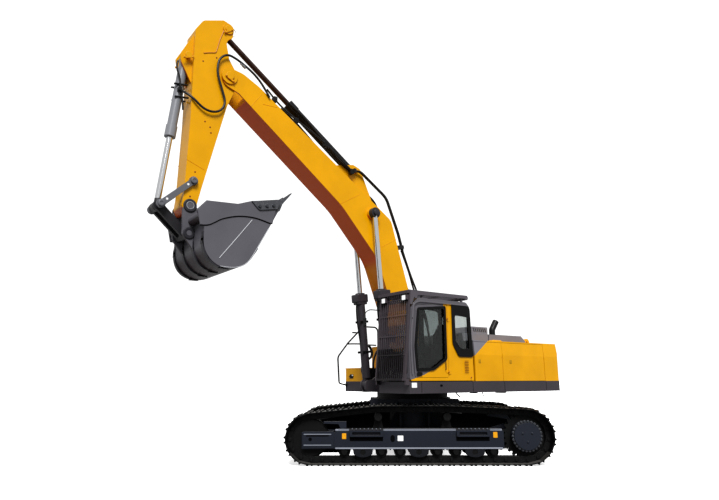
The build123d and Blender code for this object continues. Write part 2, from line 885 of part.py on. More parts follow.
# Toolbox at the right front corner, with its lid
box_rear = 50
box_left = -625
box_top = 1935
lid_thick = 25
lid_hinge = (box_rear + lid_thick / 2, box_top - lid_thick / 2)  # x, z
lid_hinge_y = (-1325, -800)
with BuildPart() as toolbox:
    with BuildSketch(Plane.XY.offset(deck_top + 0.3)):
        with Locations(((box_rear + toolbox_front) / 2, (box_left - deck_half) / 2)):
            RectangleRounded(toolbox_front - box_rear, deck_half + box_left, 30)
            Rectangle(toolbox_front - box_rear - 40, deck_half + box_left - 40, mode=Mode.SUBTRACT)
    extrude(amount=box_top - 26 - deck_top)
    # Hinge tabs with their pins
    for y in lid_hinge_y:
        with BuildSketch(side(y + 6)):
            with Locations((box_rear + 10, box_top - 26)):
                Rectangle(20, 26)
            with Locations(lid_hinge):
                Circle(9.5)
        extrude(amount=12)
        with BuildSketch(side(y + 26)):
            with Locations(lid_hinge):
                Circle(pivot_radius)
        extrude(amount=52)
write(toolbox, "toolbox")

with BuildPart() as toolbox_lid:
    with BuildSketch(side(box_left)):
        with BuildLine():
            FilletPolyline(
                (box_rear, box_top - lid_thick),
                (toolbox_front, box_top - lid_thick),
                (toolbox_front, box_top),
                (box_rear, box_top),
                radius=[lid_thick / 2 - 0.1, 2, 8, lid_thick / 2 - 0.1],
                close=True,
            )
        make_face()
    extrude(amount=deck_half + box_left)
    for y in lid_hinge_y:
        with BuildSketch(Plane.XY.offset(box_top - lid_thick - 1)):
            with Locations((box_rear + 12, y)):
                Rectangle(28, 20)
        extrude(amount=lid_thick + 2, mode=Mode.SUBTRACT)
        with BuildSketch(side(y + 30)):
            with Locations(lid_hinge):
                Circle(pivot_radius + pin_play)
        extrude(amount=60, mode=Mode.SUBTRACT)
write(toolbox_lid, "toolbox_lid")

# Cab shell: one side profile, hollow, with its windows and doorway cut
cab_profile = [
    (cab_rear, cab_floor),
    (1305, cab_floor),
    (1326, 2330),
    (1240, 3100),
    (1070, cab_top),
    (-330, cab_top),
    (-440, cab_top - 120),
]
cab_corners = [20, 60, 300, 120, 90, 110, 200]
with BuildPart() as cab_shell:
    with BuildSketch(side(cab_outer)) as cab_side:
        with BuildLine():
            FilletPolyline(*cab_profile, radius=cab_corners, close=True)
        make_face()
    extrude(amount=cab_outer - cab_inner)
    with BuildSketch(side(cab_outer - cab_wall)):
        add(cab_side.sketch_local)
        offset(amount=-cab_wall, mode=Mode.REPLACE)
    extrude(amount=cab_outer - cab_inner - 2 * cab_wall, mode=Mode.SUBTRACT)
    # Doorway in the left wall
    with BuildSketch(side(cab_outer + 1)):
        with BuildLine():
            FilletPolyline(
                (door_rear, cab_floor + 60),
                (1185, cab_floor + 60),
                (1237, 2330),
                (1137, 3158),
                (door_rear, 3232),
                radius=[30, 60, 60, 90, 30],
                close=True,
            )
        make_face()
    extrude(amount=cab_wall + 2, mode=Mode.SUBTRACT)
    # Rear side windows, left and right
    for high in (cab_outer + 1, cab_inner + cab_wall + 1):
        with BuildSketch(side(high)):
            with BuildLine():
                FilletPolyline(
                    (-60, 2160),
                    (-430, 2160),
                    (-370, 3190),
                    (110, 3230),
                    (110, 2400),
                    radius=[60, 20, 60, 60, 200],
                    close=True,
                )
            make_face()
        extrude(amount=cab_wall + 2, mode=Mode.SUBTRACT)
    # Front side window on the boom's side
    with BuildSketch(side(cab_inner + cab_wall + 1)):
        with BuildLine():
            FilletPolyline(
                (250, 2250),
                (1220, 2250),
                (1130, 3120),
                (250, 3190),
                radius=[60, 60, 90, 60],
                close=True,
            )
        make_face()
    extrude(amount=cab_wall + 2, mode=Mode.SUBTRACT)
    # Windscreen and rear window: z from, z to, x from, length
    for z0, z1, x0, run in ((1760, 3060, 1150, 260), (2200, 3080, cab_rear - 20, 200)):
        with BuildSketch(Plane.YZ.offset(x0)):
            with Locations(((cab_inner + cab_outer) / 2, (z0 + z1) / 2)):
                RectangleRounded(cab_outer - cab_inner - 150, z1 - z0, 60)
        extrude(amount=run, mode=Mode.SUBTRACT)
    # Hinges of the door: leaf, two knuckles and the pin through them
    for z in door_hinge_z:
        with BuildSketch(Plane.XY.offset(z - 45)):
            with Locations((door_axis[0] - 40, cab_outer + 3.5)):
                Rectangle(60, 9)
        extrude(amount=90)
        for z0 in (z - 45, z + 21):
            with BuildSketch(Plane.XY.offset(z0)):
                with Locations(door_axis):
                    Circle(11)
                with Locations((door_axis[0] - 12, cab_outer + 6)):
                    Rectangle(24, 10)
            extrude(amount=24)
        with BuildSketch(Plane.XY.offset(z - 45)):
            with Locations(door_axis):
                Circle(5)
        extrude(amount=90)
write(cab_shell, "cab_shell")

# Cab door: frame with a large window and a closed lower part
door_profile = [
    (door_rear + door_gap, cab_floor + 66),
    (1174, cab_floor + 66),
    (1229, 2330),
    (1130, 3151),
    (door_rear + door_gap, 3225),
]
with BuildPart() as cab_door:
    with BuildSketch(side(cab_outer)) as door_side:
        with BuildLine():
            FilletPolyline(*door_profile, radius=[30, 60, 60, 90, 30], close=True)
        make_face()
        with BuildLine():
            FilletPolyline(
                (330, 2100),
                (700, 1880),
                (1120, 1860),
                (1165, 2330),
                (1075, 3078),
                (330, 3158),
                radius=[60, 80, 80, 60, 90, 40],
                close=True,
            )
        make_face(mode=Mode.SUBTRACT)
    extrude(amount=door_thick)
    for z in door_hinge_z:
        with BuildSketch(Plane.XY.offset(z - 19)):
            with Locations((door_axis[0] + 38, cab_outer + 3.5)):
                Rectangle(64, 9)
            with Locations(door_axis):
                Circle(11)
            with Locations((door_axis[0] + 12, cab_outer + 6)):
                Rectangle(24, 10)
            with Locations(door_axis):
                Circle(5 + pin_play, mode=Mode.SUBTRACT)
        extrude(amount=38)
write(cab_door, "cab_door")

with BuildPart() as door_glass:
    with BuildSketch(side(cab_outer - 12)):
        with BuildLine():
            FilletPolyline(
                (331, 2101),
                (700, 1881),
                (1119, 1861),
                (1164, 2330),
                (1074, 3077),
                (331, 3157),
                radius=[60, 80, 80, 60, 90, 40],
                close=True,
            )
        make_face()
    extrude(amount=6)
write(door_glass, "door_glass")

# Fixed glass: panels in the rear side windows, the front right window, the windscreen and the back
with BuildPart() as cab_glass:
    for high in (cab_outer - 20, cab_inner + 26):
        with BuildSketch(side(high)):
            with BuildLine():
                FilletPolyline(
                    (-61, 2161),
                    (-429, 2161),
                    (-369, 3189),
                    (109, 3229),
                    (109, 2401),
                    radius=[60, 20, 60, 60, 200],
                    close=True,
                )
            make_face()
        extrude(amount=6)
    with BuildSketch(side(cab_inner + 26)):
        with BuildLine():
            FilletPolyline(
                (251, 2251),
                (1219, 2251),
                (1129, 3119),
                (251, 3189),
                radius=[60, 60, 90, 60],
                close=True,
            )
        make_face()
    extrude(amount=6)
    # Windscreen and rear window: lower end, upper end
    for low, high in (((1268, 1766), (1212, 3054)), ((cab_rear + 16, 2206), (cab_rear + 56, 3074))):
        pane_plane = Plane(
            origin=((low[0] + high[0]) / 2, (cab_inner + cab_outer) / 2, (low[1] + high[1]) / 2),
            x_dir=(0, 1, 0),
            z_dir=(high[1] - low[1], 0, low[0] - high[0]),
        )
        with BuildSketch(pane_plane):
            RectangleRounded(cab_outer - cab_inner - 151, hypot(high[0] - low[0], high[1] - low[1]), 60)
        extrude(amount=6)
write(cab_glass, "cab_glass")

# Front guard: bars on cross bars in front of the windscreen, with brackets to the deck
guard_bottom = (1424, 1640)
guard_top = (1259, 3455)
guard_low = 520
guard_high = 1500
guard_rail = 45
bar_count = 14
guard_plane = Plane(
    origin=(guard_bottom[0], (guard_low + guard_high) / 2, guard_bottom[1]),
    x_dir=(0, 1, 0),
    z_dir=(guard_top[1] - guard_bottom[1], 0, guard_bottom[0] - guard_top[0]),
)
guard_length = hypot(guard_top[0] - guard_bottom[0], guard_top[1] - guard_bottom[1])
guard_span = guard_high - guard_low
guard_tilt = (guard_bottom[0] - guard_top[0]) / (guard_top[1] - guard_bottom[1])
bar_pitch = (guard_span - 2 * guard_rail) / bar_count
with BuildPart() as cab_guard:
    with BuildSketch(guard_plane):
        with Locations((0, guard_length / 2)):
            Rectangle(guard_span, guard_length)
            Rectangle(guard_span - 2 * guard_rail, guard_length - 2 * guard_rail, mode=Mode.SUBTRACT)
        for share in (0.28, 0.49, 0.72, 0.9):
            with Locations((0, guard_length * share)):
                Rectangle(guard_span, 24)
        for index in range(bar_count):
            with Locations(((index + 0.5 - bar_count / 2) * bar_pitch, guard_length / 2)):
                Rectangle(16, guard_length)
    extrude(amount=28)
    # Lip over the top, and the two lamps under it
    with BuildSketch(side(guard_high)):
        with BuildLine():
            Polyline((1270, 3455), (1352, 3440), (1352, 3378), (1280, 3390), close=True)
        make_face()
    extrude(amount=guard_span)
    for y in guard_lamp_y:
        with BuildSketch(side(y + 80)):
            with Locations((1325, 3300)):
                RectangleRounded(60, 100, 12)
        extrude(amount=160)
        with BuildSketch(side(y + 12)):
            with Locations((1322, 3360)):
                Rectangle(24, 70)
        extrude(amount=24)
    # Brackets on the deck
    for low in (guard_low, guard_high - guard_rail):
        with BuildSketch(side(low + guard_rail)):
            with Locations(((deck_front + 0.3 + 1436) / 2, 1620)):
                Rectangle(1436 - deck_front - 0.3, 120)
        extrude(amount=guard_rail)
write(cab_guard, "cab_guard")

# Roof guard: side rails, bars and gussets on feet that stand on the cab's roof
rail_top = guard_top[1]


def guard_back(z):
    """Rear face of the front guard at a height, less a hair's gap."""
    return guard_bottom[0] - (z - guard_bottom[1]) * guard_tilt - 0.3


roof_rail = [
    (guard_back(3160), 3160),
    (guard_back(rail_top), rail_top),
    (-350, rail_top),
    (-350, rail_top - 70),
    (1150, rail_top - 95),
    (1228, 3160),
]
with BuildPart() as roof_guard:
    for high in (guard_high, guard_low + guard_rail):
        with BuildSketch(side(high)):
            with BuildLine():
                FilletPolyline(*roof_rail, radius=[0, 0, 20, 20, 60, 0], close=True)
            make_face()
            with BuildLine():
                Polyline((1245, rail_top), (1030, rail_top), (1100, 3290), (1150, 3290), close=True)
            make_face()
        extrude(amount=guard_rail)
    # Cross bars: x, z, size
    for x, z, size in ((1215, rail_top - 30, 46), (860, rail_top - 31, 44), (260, rail_top - 31, 40)):
        with BuildSketch(side(guard_high - 1)):
            with Locations((x, z)):
                Rectangle(size, size)
        extrude(amount=guard_span - 2)
    with BuildSketch(side(guard_high)):
        with Locations((-330, rail_top - 50)):
            Circle(50)
    extrude(amount=guard_span)
    for index in range(7):
        y = guard_low + guard_span * (index + 1) / 8
        with BuildSketch(side(y + 12)):
            with Locations(((1215 - 330) / 2, rail_top - 31)):
                Rectangle(1215 + 330, 24)
        extrude(amount=24)
    # Feet on the cab's roof
    for x in (-220, 920):
        for low in (guard_low + 30, guard_high - guard_rail - 30):
            with BuildSketch(side(low + guard_rail)):
                with Locations((x, (cab_top + 0.3 + rail_top - 40) / 2)):
                    Rectangle(40, rail_top - 40 - cab_top - 0.3)
            extrude(amount=guard_rail)
write(roof_guard, "roof_guard")

# Handrail in front of the toolbox, back to the fuel tank's top
rail_y = -1440
with BuildPart() as handrails:
    with BuildLine() as rail_path:
        FilletPolyline(
            (toolbox_front + 8, rail_y, 1540),
            (1045, rail_y, 1580),
            (1085, rail_y, 2200),
            (790, rail_y, 2540),
            (330, rail_y, 2960),
            (-130, rail_y, 2960),
            (-130, rail_y, house_top - 39.7),
            radius=[60, 160, 200, 160, 120],
        )
    with BuildSketch(Plane(origin=rail_path.line @ 0, z_dir=rail_path.line % 0)):
        Circle(19)
    sweep(path=rail_path.line)
    with BuildSketch(side(rail_y + 18)):
        with Locations((toolbox_front + 8.3, 1545)):
            Rectangle(16, 90)
    extrude(amount=36)
write(handrails, "handrails")

# Seat and consoles inside the cab
cab_middle = (cab_inner + cab_outer) / 2
with BuildPart() as seat:
    with BuildSketch(side(cab_middle + 260)):
        with BuildLine():
            FilletPolyline(
                (-60, 2080),
                (430, 2100),
                (450, 2220),
                (110, 2240),
                (0, 2840),
                (-110, 2850),
                (-110, 2180),
                radius=[40, 40, 50, 60, 50, 40, 60],
                close=True,
            )
        make_face()
    extrude(amount=520)
    with BuildSketch(Plane.XY.offset(cab_floor + cab_wall + 0.3)):
        with Locations((150, cab_middle)):
            Rectangle(360, 360)
    extrude(amount=450)
write(seat, "seat")

with BuildPart() as consoles:
    for y in (cab_middle + 345, cab_middle - 345):
        with BuildSketch(side(y + 65)):
            with BuildLine():
                FilletPolyline(
                    (-100, cab_floor + cab_wall + 0.3),
                    (480, cab_floor + cab_wall + 0.3),
                    (600, 2300),
                    (520, 2380),
                    (-100, 2340),
                    radius=[0, 0, 30, 30, 40],
                    close=True,
                )
            make_face()
        extrude(amount=130)
write(consoles, "consoles")

# Exhaust stack on the hood: a bent pipe that leans to the rear
stack_foot = (-2080, 620, hood_top + 0.3)
with BuildPart() as exhaust:
    with BuildLine() as stack_line:
        FilletPolyline(
            stack_foot,
            (stack_foot[0], stack_foot[1], 2850),
            (stack_foot[0] - 150, stack_foot[1], 3060),
            radius=90,
        )
    with BuildSketch(Plane(origin=stack_foot, z_dir=(0, 0, 1))):
        Circle(74)
        Circle(68, mode=Mode.SUBTRACT)
    sweep(path=stack_line.line)
    with BuildSketch(Plane.XY.offset(hood_top + 0.3)):
        with Locations(stack_foot[:2]):
            Circle(110)
            Circle(70, mode=Mode.SUBTRACT)
    extrude(amount=12)
write(exhaust, "exhaust")

# Boom: hollow box of plates with a fork for the arm and a boss at the foot
boom_profile = [
    (0, 2330),
    (303, 3756),
    (765, 5257),
    (4190, 7575),
    (4560, 7760),
    (4860, 7810),
    (5060, 7610),
    (4930, 7410),
    (4640, 7310),
    (2130, 5380),
    (1180, 4330),
    (350, 2170),
]
boom_rounds = [100, 600, 250, 900, 300, 190, 190, 190, 60, 1500, 1200, 120]
boom_hollow = [
    (110, 2560),
    (330, 3750),
    (783, 5246),
    (4040, 7452),
    (4420, 7170),
    (2120, 5403),
    (1165, 4341),
    (460, 2560),
]
with BuildPart() as boom:
    with BuildSketch(side(boom_half)):
        with BuildLine():
            FilletPolyline(*boom_profile, radius=boom_rounds, close=True)
        make_face()
        with Locations(foot_pin):
            Circle(170)
    extrude(amount=2 * boom_half)
    with BuildSketch(side(boom_half - boom_plate)):
        with BuildLine():
            FilletPolyline(*boom_hollow, radius=[0, 600, 230, 0, 0, 1510, 1210, 0], close=True)
        make_face()
    extrude(amount=2 * (boom_half - boom_plate), mode=Mode.SUBTRACT)
    # Fork for the arm
    with BuildSketch(side(fork_inner)):
        with BuildLine():
            FilletPolyline(
                (4080, 7900),
                (4180, 7500),
                (4430, 7380),
                (4520, 7050),
                (5300, 7050),
                (5300, 8100),
                radius=[0, 60, 60, 0, 0, 0],
                close=True,
            )
        make_face()
    extrude(amount=2 * fork_inner, mode=Mode.SUBTRACT)
    # Round bosses on both sides: place, radius, outer face
    for place, radius, face in ((arm_pin, 165, boom_half + 30), (boom_rod_pin, 130, boom_half + 60)):
        for low in (boom_half - 2, -face):
            with BuildSketch(side(low + face - boom_half + 2)):
                with Locations(place):
                    Circle(radius)
            extrude(amount=face - boom_half + 2)
    # Pin of the arm
    with BuildSketch(side(boom_half + 45)):
        with Locations(arm_pin):
            Circle(main_pin_radius)
    extrude(amount=2 * boom_half + 90)
    # Ears for the base of the arm cylinder
    for low in (ear_slot_half, -ear_slot_half - ear_plate):
        with BuildSketch(side(low + ear_plate)):
            with BuildLine():
                FilletPolyline(
                    (1150, 5510),
                    (1545, 6380),
                    (1740, 6450),
                    (2330, 6310),
                    radius=[0, 120, 120, 0],
                    close=True,
                )
            make_face()
        extrude(amount=ear_plate)
    with BuildSketch(side(ear_slot_half + ear_plate + 22)):
        with Locations(arm_base_pin):
            Circle(small_pin_radius)
    extrude(amount=2 * (ear_slot_half + ear_plate + 22))
    # Bore of the foot
    with BuildSketch(side(boom_half + 10)):
        with Locations(foot_pin):
            Circle(main_pin_radius + 10 + pin_play)
    extrude(amount=2 * boom_half + 20, mode=Mode.SUBTRACT)
write(boom, "boom")

# Hoses behind the boom: from the base of the arm cylinder down to a clamp on the boom's back
hose_radius = 18
hose_y = (-250, -200, 200, 250)
hose_route = [(1830, 6270), (1600, 6290), (860, 5800), (520, 4985), (400, 4600)]
clamp_ear = (1766, 6277)
clamp_back = (430, 4690)
with BuildPart() as boom_hoses:
    for y in hose_y:
        with BuildLine() as hose_line:
            FilletPolyline(*[(x, y, z) for x, z in hose_route], radius=[220, 420, 600])
        with BuildSketch(Plane(origin=hose_line.line @ 0, z_dir=hose_line.line % 0)):
            Circle(hose_radius)
        sweep(path=hose_line.line)
    # Clamps: one pair beside the ears, one across the boom's back
    for low in (ear_slot_half + ear_plate + 0.3, -ear_slot_half - ear_plate - 0.3 - 125):
        with BuildSketch(side(low + 125)):
            with Locations(clamp_ear):
                Rectangle(60, 90)
        extrude(amount=125)
    with BuildSketch(side(boom_half)):
        with BuildLine():
            Polyline((400, 4720), (380, 4640), (565.6, 4612), (590.2, 4692), close=True)
        make_face()
    extrude(amount=2 * boom_half)
write(boom_hoses, "boom_hoses")

# Arm: hollow box of plates, with ears for its own cylinder and the bucket's
arm_profile = [
    (5640, 4800),
    (5612, 5080),
    (5580, 6500),
    (5585, 8430),
    (5440, 8670),
    (5020, 8830),
    (4780, 8760),
    (4815, 8490),
    (4950, 8400),
    (4860, 8000),
    (4660, 7700),
    (4680, 7450),
    (4860, 6980),
    (5060, 6150),
    (5290, 5180),
    (5380, 4760),
    (5560, 4650),
]
arm_rounds = [90, 0, 0, 60, 150, 60, 120, 60, 150, 120, 150, 120, 300, 0, 60, 90, 60]
arm_hollow = [
    (5600, 5180),
    (5566, 6500),
    (5566, 8400),
    (5430, 8640),
    (5040, 8800),
    (5000, 8400),
    (5170, 7900),
    (5170, 7350),
    (4890, 7000),
    (5080, 6155),
    (5320, 5180),
]
with BuildPart() as arm:
    with BuildSketch(side(arm_half)):
        with BuildLine():
            FilletPolyline(*arm_profile, radius=arm_rounds, close=True)
        make_face()
    extrude(amount=2 * arm_half)
    with BuildSketch(side(arm_half - arm_plate)):
        with BuildLine():
            Polyline(*arm_hollow, close=True)
        make_face()
    extrude(amount=2 * (arm_half - arm_plate), mode=Mode.SUBTRACT)
    # Slot for the rod of the arm cylinder
    with BuildSketch(side(arm_half - 40)):
        with BuildLine():
            Polyline((4500, 8190), (5120, 8190), (5180, 8500), (5090, 9000), (4500, 9000), close=True)
        make_face()
    extrude(amount=2 * (arm_half - 40), mode=Mode.SUBTRACT)
    # Bosses in and outside the ears: place, radius, y from, y to
    for place, radius, y0, y1 in (
        (arm_rod_pin, 110, rod_eye_half + 10, arm_half + 28),
        (arm_rod_pin, 110, -arm_half - 28, -rod_eye_half - 10),
        (side_link_pin, 95, arm_half - 2, arm_half + 3),
        (side_link_pin, 95, -arm_half - 3, -arm_half + 2),
    ):
        with BuildSketch(side(y1)):
            with Locations(place):
                Circle(radius)
        extrude(amount=y1 - y0)
    # Ears for the base of the bucket cylinder
    for low in (ear_slot_half, -ear_slot_half - ear_plate):
        with BuildSketch(side(low + ear_plate)):
            with BuildLine():
                FilletPolyline(
                    (5560, 7260),
                    (5800, 7700),
                    (5830, 7850),
                    (5740, 8030),
                    (5560, 8400),
                    radius=[0, 80, 60, 60, 0],
                    close=True,
                )
            make_face()
        extrude(amount=ear_plate)
    with BuildSketch(side(ear_slot_half + ear_plate + 22)):
        with Locations(bucket_base_pin):
            Circle(small_pin_radius)
    extrude(amount=2 * (ear_slot_half + ear_plate + 22))
    # Bores for the pins of the boom, the bucket and the side links
    for place, radius in (
        (arm_pin, main_pin_radius),
        (bucket_pin, main_pin_radius),
        (side_link_pin, small_pin_radius),
    ):
        with BuildSketch(side(arm_half + 20)):
            with Locations(place):
                Circle(radius + pin_play)
        extrude(amount=2 * arm_half + 40, mode=Mode.SUBTRACT)
write(arm, "arm")

# Bucket: rolled shell between side plates, with ears, torque tube, cutters and teeth
shell_outer = [(5400, 4570), (5400, 3615), (4590, 3615), (3930, 4870)]
shell_inner = [(3975, 4895), (4617, 3660), (5355, 3660), (5355, 4590)]
cheek_profile = [
    (5385, 4800),
    (4784, 4838),
    (4505, 4944),
    (3965, 5038),
    (4096, 4554),
    (4590, 3615),
    (5400, 3615),
    (5400, 4330),
    (5560, 4600),
]
with BuildPart() as bucket:
    with BuildSketch(side(bucket_half - 2)):
        with BuildLine():
            FilletPolyline(*shell_outer, *shell_inner, radius=[0, 470, 560, 0, 0, 515, 425, 0], close=True)
        make_face()
    extrude(amount=2 * bucket_half - 4)
    for low in (bucket_half - bucket_plate, -bucket_half):
        with BuildSketch(side(low + bucket_plate)):
            with BuildLine():
                FilletPolyline(*cheek_profile, radius=[20, 60, 20, 20, 0, 560, 470, 60, 40], close=True)
            make_face()
        extrude(amount=bucket_plate)
    # Torque tube along the rear edge
    with BuildSketch(side(bucket_half - 5)):
        with Locations((5440, 4515)):
            Circle(90)
    extrude(amount=2 * bucket_half - 10)
    # Ears with their bosses
    for low in (ear_inner, -ear_inner - ear_thick):
        with BuildSketch(side(low + ear_thick)):
            with BuildLine():
                FilletPolyline(
                    (5640, 4810),
                    (5620, 4250),
                    (5330, 3900),
                    (5300, 4560),
                    (5390, 4840),
                    radius=[120, 130, 40, 40, 110],
                    close=True,
                )
            make_face()
        extrude(amount=ear_thick)
    for place, radius in ((bucket_pin, main_pin_radius), (h_link_pin, small_pin_radius)):
        with BuildSketch(side(ear_inner + ear_thick + 25)):
            with Locations(place):
                Circle(radius)
        extrude(amount=2 * (ear_inner + ear_thick + 25))
write(bucket, "bucket")

# Bucket teeth: an adapter on the lip with a tapered point that leans forward
tooth_count_bucket = 5
tooth_pitch = 345
adapter_length = 170
point_length = 330
lip_end = (3952.5, 4882.5)
lip_way = (-25, 0, 45)
point_way = (-70, 0, 71)
with BuildPart() as bucket_teeth:
    for index in range(tooth_count_bucket):
        y = (index - (tooth_count_bucket - 1) / 2) * tooth_pitch
        root = Plane(origin=(lip_end[0], y, lip_end[1]), x_dir=(0, 1, 0), z_dir=lip_way).offset(0.3)
        neck = Plane(origin=root.offset(adapter_length).origin, x_dir=(0, 1, 0), z_dir=point_way)
        with BuildSketch(root):
            Rectangle(130, 120)
        with BuildSketch(neck):
            Rectangle(110, 84)
        with BuildSketch(neck.offset(point_length)):
            Rectangle(90, 18)
        loft(ruled=True)
write(bucket_teeth, "bucket_teeth")

# Side links: two bars on one pin through the arm, with stubs toward the H-link
link_inner = arm_half + 10
link_thick = 45
with BuildPart() as side_links:
    for low in (link_inner, -link_inner - link_thick):
        with BuildSketch(side(low + link_thick)):
            with Locations(side_link_pin, link_pin):
                Circle(82)
            with BuildLine():
                Polyline(
                    step(side_link_pin, (side_link_pin[0] + 681, side_link_pin[1] + 732), 55),
                    step(link_pin, (link_pin[0] + 681, link_pin[1] + 732), 55),
                    step(link_pin, (link_pin[0] - 681, link_pin[1] - 732), 55),
                    step(side_link_pin, (side_link_pin[0] - 681, side_link_pin[1] - 732), 55),
                    close=True,
                )
            make_face()
        extrude(amount=link_thick)
    with BuildSketch(side(link_inner + link_thick + 25)):
        with Locations(side_link_pin):
            Circle(small_pin_radius)
    extrude(amount=2 * (link_inner + link_thick + 25))
    for y0, y1 in ((158, link_inner + link_thick + 25), (-link_inner - link_thick - 25, -158)):
        with BuildSketch(side(y1)):
            with Locations(link_pin):
                Circle(small_pin_radius)
        extrude(amount=y1 - y0)
write(side_links, "side_links")

# H-link: two bars joined by a cross tube at the bucket's end
with BuildPart() as h_link:
    for low in (80, -150):
        with BuildSketch(side(low + 70)):
            with Locations(link_pin):
                Circle(95)
            with Locations(h_link_pin):
                Circle(82)
            with BuildLine():
                Polyline(
                    step(h_link_pin, (h_link_pin[0] - 485, h_link_pin[1] + 530), 78),
                    step(link_pin, (link_pin[0] - 485, link_pin[1] + 530), 78),
                    step(link_pin, (link_pin[0] + 485, link_pin[1] - 530), 78),
                    step(h_link_pin, (h_link_pin[0] + 485, h_link_pin[1] - 530), 78),
                    close=True,
                )
            make_face()
        extrude(amount=70)
    with BuildSketch(side(ear_inner - side_gap)):
        with Locations(h_link_pin):
            Circle(82)
    extrude(amount=2 * (ear_inner - side_gap))
    with BuildSketch(side(ear_inner)):
        with Locations(h_link_pin):
            Circle(small_pin_radius + pin_play)
    extrude(amount=2 * ear_inner, mode=Mode.SUBTRACT)
write(h_link, "h_link")

# Boom cylinders: barrels with a gland, rods with an eye beside the boom
boom_barrel_length = 2060
with BuildPart() as boom_barrels:
    for y in (boom_cylinder_y, -boom_cylinder_y):
        with BuildSketch(axis_plane(boom_base_pin, boom_rod_pin, y).offset(150)):
            Circle(barrel_radius)
        extrude(amount=boom_barrel_length - 150)
        with BuildSketch(axis_plane(boom_base_pin, boom_rod_pin, y).offset(60)):
            Rectangle(2 * boom_eye_half, 150)
        extrude(amount=100)
        with BuildSketch(axis_plane(boom_base_pin, boom_rod_pin, y).offset(boom_barrel_length - 180)):
            Circle(barrel_radius + 14)
        extrude(amount=180)
        with BuildSketch(axis_plane(boom_base_pin, boom_rod_pin, y).offset(180)):
            Circle(rod_radius + 1)
        extrude(amount=boom_barrel_length, mode=Mode.SUBTRACT)
        with BuildSketch(side(y + boom_eye_half)):
            with Locations(boom_base_pin):
                Circle(108)
        extrude(amount=2 * boom_eye_half)
        with BuildSketch(side(y + boom_eye_half + 1)):
            with Locations(boom_base_pin):
                Circle(small_pin_radius + 5 + pin_play)
        extrude(amount=2 * boom_eye_half + 2, mode=Mode.SUBTRACT)
write(boom_barrels, "boom_cylinder_barrels")

boom_run = hypot(boom_rod_pin[0] - boom_base_pin[0], boom_rod_pin[1] - boom_base_pin[1])
with BuildPart() as boom_rods:
    for y in (boom_cylinder_y, -boom_cylinder_y):
        with BuildSketch(axis_plane(boom_base_pin, boom_rod_pin, y).offset(1750)):
            Circle(rod_radius)
        extrude(amount=boom_run - 1750)
        with BuildSketch(side(y + boom_eye_half)):
            with Locations(boom_rod_pin):
                Circle(115)
        extrude(amount=2 * boom_eye_half)
        outer_face = sorted((y, y + (boom_eye_half + 45 if y > 0 else -boom_eye_half - 45)))
        with BuildSketch(side(outer_face[1])):
            with Locations(boom_rod_pin):
                Circle(62)
        extrude(amount=outer_face[1] - outer_face[0])
write(boom_rods, "boom_cylinder_rods")

# Arm and bucket cylinders: name, base pin, rod pin, barrel length, barrel radius, rod start
for name, base, rod_end, barrel_length, radius, rod_start in (
    ("arm_cylinder", arm_base_pin, arm_rod_pin, 2100, arm_barrel_radius, 1850),
    ("bucket_cylinder", bucket_base_pin, link_pin, 1680, bucket_barrel_radius, 1480),
):
    with BuildPart() as barrel:
        with BuildSketch(axis_plane(base, rod_end).offset(60)):
            Circle(radius)
        extrude(amount=barrel_length - 60)
        with BuildSketch(axis_plane(base, rod_end).offset(barrel_length - 230)):
            Circle(radius + 14)
        extrude(amount=230)
        with BuildSketch(axis_plane(base, rod_end).offset(130)):
            Circle(rod_radius + 1)
        extrude(amount=barrel_length, mode=Mode.SUBTRACT)
        with BuildSketch(side(base_eye_half)):
            with Locations(base):
                Circle(88)
        extrude(amount=2 * base_eye_half)
        with BuildSketch(side(base_eye_half + 1)):
            with Locations(base):
                Circle(small_pin_radius + pin_play)
        extrude(amount=2 * base_eye_half + 2, mode=Mode.SUBTRACT)
    write(barrel, name + "_barrel")
    rod_run = hypot(rod_end[0] - base[0], rod_end[1] - base[1])
    with BuildPart() as rod:
        with BuildSketch(axis_plane(base, rod_end).offset(rod_start)):
            Circle(rod_radius)
        extrude(amount=rod_run - rod_start)
        with BuildSketch(side(rod_eye_half)):
            with Locations(rod_end):
                Circle(95)
        extrude(amount=2 * rod_eye_half)
    write(rod, name + "_rod")
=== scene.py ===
import math

import bmesh
import bpy
import numpy as np
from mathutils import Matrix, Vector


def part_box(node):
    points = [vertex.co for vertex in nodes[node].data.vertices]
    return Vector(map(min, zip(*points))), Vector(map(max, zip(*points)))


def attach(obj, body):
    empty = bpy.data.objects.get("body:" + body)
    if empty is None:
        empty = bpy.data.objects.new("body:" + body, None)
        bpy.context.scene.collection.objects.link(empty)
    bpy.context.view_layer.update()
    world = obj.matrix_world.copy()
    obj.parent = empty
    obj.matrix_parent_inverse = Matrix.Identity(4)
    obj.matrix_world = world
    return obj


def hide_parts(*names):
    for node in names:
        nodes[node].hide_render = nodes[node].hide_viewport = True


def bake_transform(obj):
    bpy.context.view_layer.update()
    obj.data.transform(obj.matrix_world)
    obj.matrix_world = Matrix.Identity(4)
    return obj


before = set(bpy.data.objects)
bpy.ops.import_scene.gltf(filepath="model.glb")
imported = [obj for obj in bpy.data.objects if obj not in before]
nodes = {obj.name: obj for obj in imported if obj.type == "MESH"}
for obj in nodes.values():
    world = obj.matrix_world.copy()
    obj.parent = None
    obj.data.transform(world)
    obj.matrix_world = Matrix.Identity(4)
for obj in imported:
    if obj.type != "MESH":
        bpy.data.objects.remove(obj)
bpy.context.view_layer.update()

# The studio: a white floor that runs out of sight, an even white sky and one soft sun from the
# machine's left front. The walls are flagged, so the sky lights less than it shows. The camera stands
# 1.67 m up off the left front corner, with a 30 mm lens.
scene = bpy.context.scene
scene.view_settings.view_transform = "Standard"
scene.view_settings.look = "Medium High Contrast"


